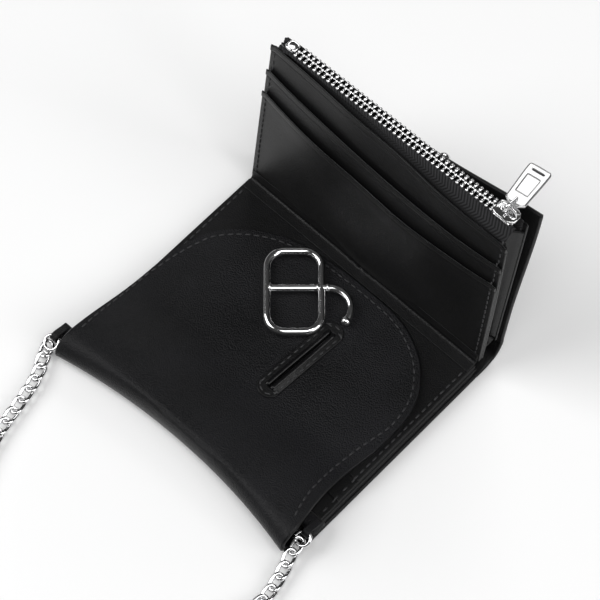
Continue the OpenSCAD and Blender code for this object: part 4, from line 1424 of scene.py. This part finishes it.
    def link_point(self, x: float, y: float, z: float) -> Vector:
        """A point in the link's own frame: X along the bridge, Y towards the puller."""
        d = math.radians(self.puller_droop)
        y, z = y * math.cos(d) + z * math.sin(d), -y * math.sin(d) + z * math.cos(d)
        return self.at(self.slider_x + x, y, 5.0 + z)

    def puller_point(self, x: float, y: float, z: float) -> Vector:
        """A point in the puller's own frame: X across it and Y along it, from its pin."""
        a = math.radians(self.puller_turn)
        return self.link_point(x * math.cos(a) - y * math.sin(a),
                               self.link_reach + x * math.sin(a) + y * math.cos(a), z)

    def build_puller(self, wardrobe: Wardrobe) -> None:
        """Build the flat puller: tapered, round at its wide end, with a slot and a shallow plain field."""
        before_pin, neck, flat = 1.9, 3.8, 1.3
        length = self.puller_l + before_pin

        def half(t: float) -> float:
            """Half width at a share of the puller's length."""
            body = neck + (self.puller_w / 2 - neck) * smooth_step(t * 1.15)
            end = max(0.0, (t - 0.92) / 0.08)
            start = max(0.0, (0.093 - t) / 0.093)
            return body * math.sqrt(max(0.0, 1 - 0.42 * end ** 2.6)) * (1 - 0.58 * start ** 1.3)

        def at(u: float, v: float) -> Vector:
            """A point along (u) and across (v) the puller."""
            rounded = 0.3 * (2 * v - 1) ** 2 if u > 0.995 else 0.0
            return self.puller_point(half(u) * (2 * v - 1), -before_pin + length * u - rounded, 0.0)

        def thick(u: float, v: float) -> float:
            """Thickness, less in the field and at the rounded border."""
            t = abs(2 * v - 1)
            sunk = smooth_step((u - 0.27) / 0.02) * (1 - smooth_step((u - 0.72) / 0.02))
            sunk *= 1 - smooth_step((t - 0.55) / 0.08)
            rim = smooth_step((1 - t) / 0.12) * smooth_step((1 - u) / 0.04) * smooth_step(u / 0.04)
            return (flat * (0.72 + 0.28 * rim) - 0.36 * sunk) * MM

        tab = Skin("flat_puller", at, samples(70, 0.006), samples(36, 0.012), thick, 0.12, [wardrobe.satin]).build()
        punch(outward(tab), [self.hole(2.6, 0.65, self.puller_l - 2.7), self.hole(0.58, 0.58, 0.0)])
        settle(tab, Body.PULLER, Slot.SATIN, "zip_puller")

    def hole(self, half_l: float, radius: float, y: float) -> Object:
        """A cutter with round ends, through the puller at a distance from its pin."""
        outline = [(radius * math.cos(t) + math.copysign(half_l - radius, math.cos(t)), y + radius * math.sin(t))
                   for t in turns(24, 0.5)]
        return tube("hole", [[self.puller_point(x, w, z) for x, w in outline] for z in (-2.0, 2.0)])

    def build(self, repeater: Repeater, wardrobe: Wardrobe) -> None:
        """Build the whole zip."""
        self.build_tapes(wardrobe)
        self.build_teeth(repeater, wardrobe)
        self.build_slider(wardrobe)
        self.build_puller(wardrobe)


# ---- tabs


@dataclass
class RingTabs:
    """The two leather loops that hold the chain's rings."""

    width: float = 2.5
    height: float = 4.6
    reach: float = 5.6
    radius: float = 1.62
    strap_gap: float = 0.35

    def loop(self, x: float, y: float, height: float) -> Surface:
        """The surface of a strap that comes in low, runs round the ring's wire and goes back."""
        def at(u: float, v: float) -> Vector:
            """A point round and across the loop."""
            r, tail = self.radius, 0.22
            if tail <= u <= 1 - tail:
                a = math.radians(270 - 180 * (u - tail) / (1 - 2 * tail))
                across, up = r * math.cos(a), r * math.sin(a)
            elif u < tail:
                across = self.reach * (1 - u / tail)
                up = -self.strap_gap - (r - self.strap_gap) * smooth_step(u / tail)
            else:
                t = (u - 1 + tail) / tail
                across, up = self.reach * t, r - (r - self.strap_gap) * smooth_step(t)
            return Vector((x + self.width * (v - 0.5), y + across, height + up)) * MM

        return at

    def build(self, wardrobe: Wardrobe) -> None:
        """Build both tabs: a strap from the card base that loops round the ring's wire."""
        for name, x, y, inner, rise, node in (("left_tab", -61.2, -45.3, -51.0, 0.0, "ring_tab_left"),
                                              ("right_tab", 55.5, -39.4, 51.0, 2.7, "ring_tab_right")):
            height = self.height + rise
            edge = x + math.copysign(self.width / 2, x)

            def strap(u: float, v: float) -> Vector:
                """A point along and across the strap on the card base."""
                return Vector((inner + (edge - inner) * u, y + 1.9 + 4.0 * v, height - rise / 2)) * MM

            piece = Skin(name, self.loop(x, y, height), samples(40, 0.01), samples(6, 0.08), 0.66 * MM, 0.3,
                         [wardrobe.pebbled]).build()
            settle(outward(piece), Body.BACK, Slot.PEBBLED, node)
            band = Skin(name + "_strap", strap, samples(12, 0.03), samples(8, 0.05), (1.1 + rise) * MM, 0.3,
                        [wardrobe.pebbled]).build()
            settle(outward(band), Body.BACK, Slot.PEBBLED)


# ---- whole


def polish_cad(wardrobe: Wardrobe) -> None:
    """Give the CAD's own metal pieces their finish."""
    for node in ("ornament_frame", "ornament_bar", "ornament_hook", "ornament_posts", "ornament_washers",
                 "closing_stud", "stud_washer", "slider_base", "puller_link", "ring_left", "ring_right"):
        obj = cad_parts[node]
        if not obj.material_slots:
            obj.data.materials.append(wardrobe.polished)
        for slot in obj.material_slots:
            slot.material = wardrobe.polished


def main() -> None:
    """Build the wallet in order."""
    logging.basicConfig(level=logging.INFO, format="%(name)s: %(message)s")
    Studio().camera()
    wardrobe = Wardrobe()
    repeater = Repeater()
    Chain().build(repeater, wardrobe)
    Studio().build()
    sewing = Sewing(repeater, wardrobe)
    BackPanel().build(wardrobe, sewing)
    Flap().build(wardrobe, sewing)
    FoldingPanel().build(wardrobe, sewing)
    Zip().build(repeater, wardrobe)
    RingTabs().build(wardrobe)
    sewing.done()
    polish_cad(wardrobe)


if __name__ == "__main__":
    main()
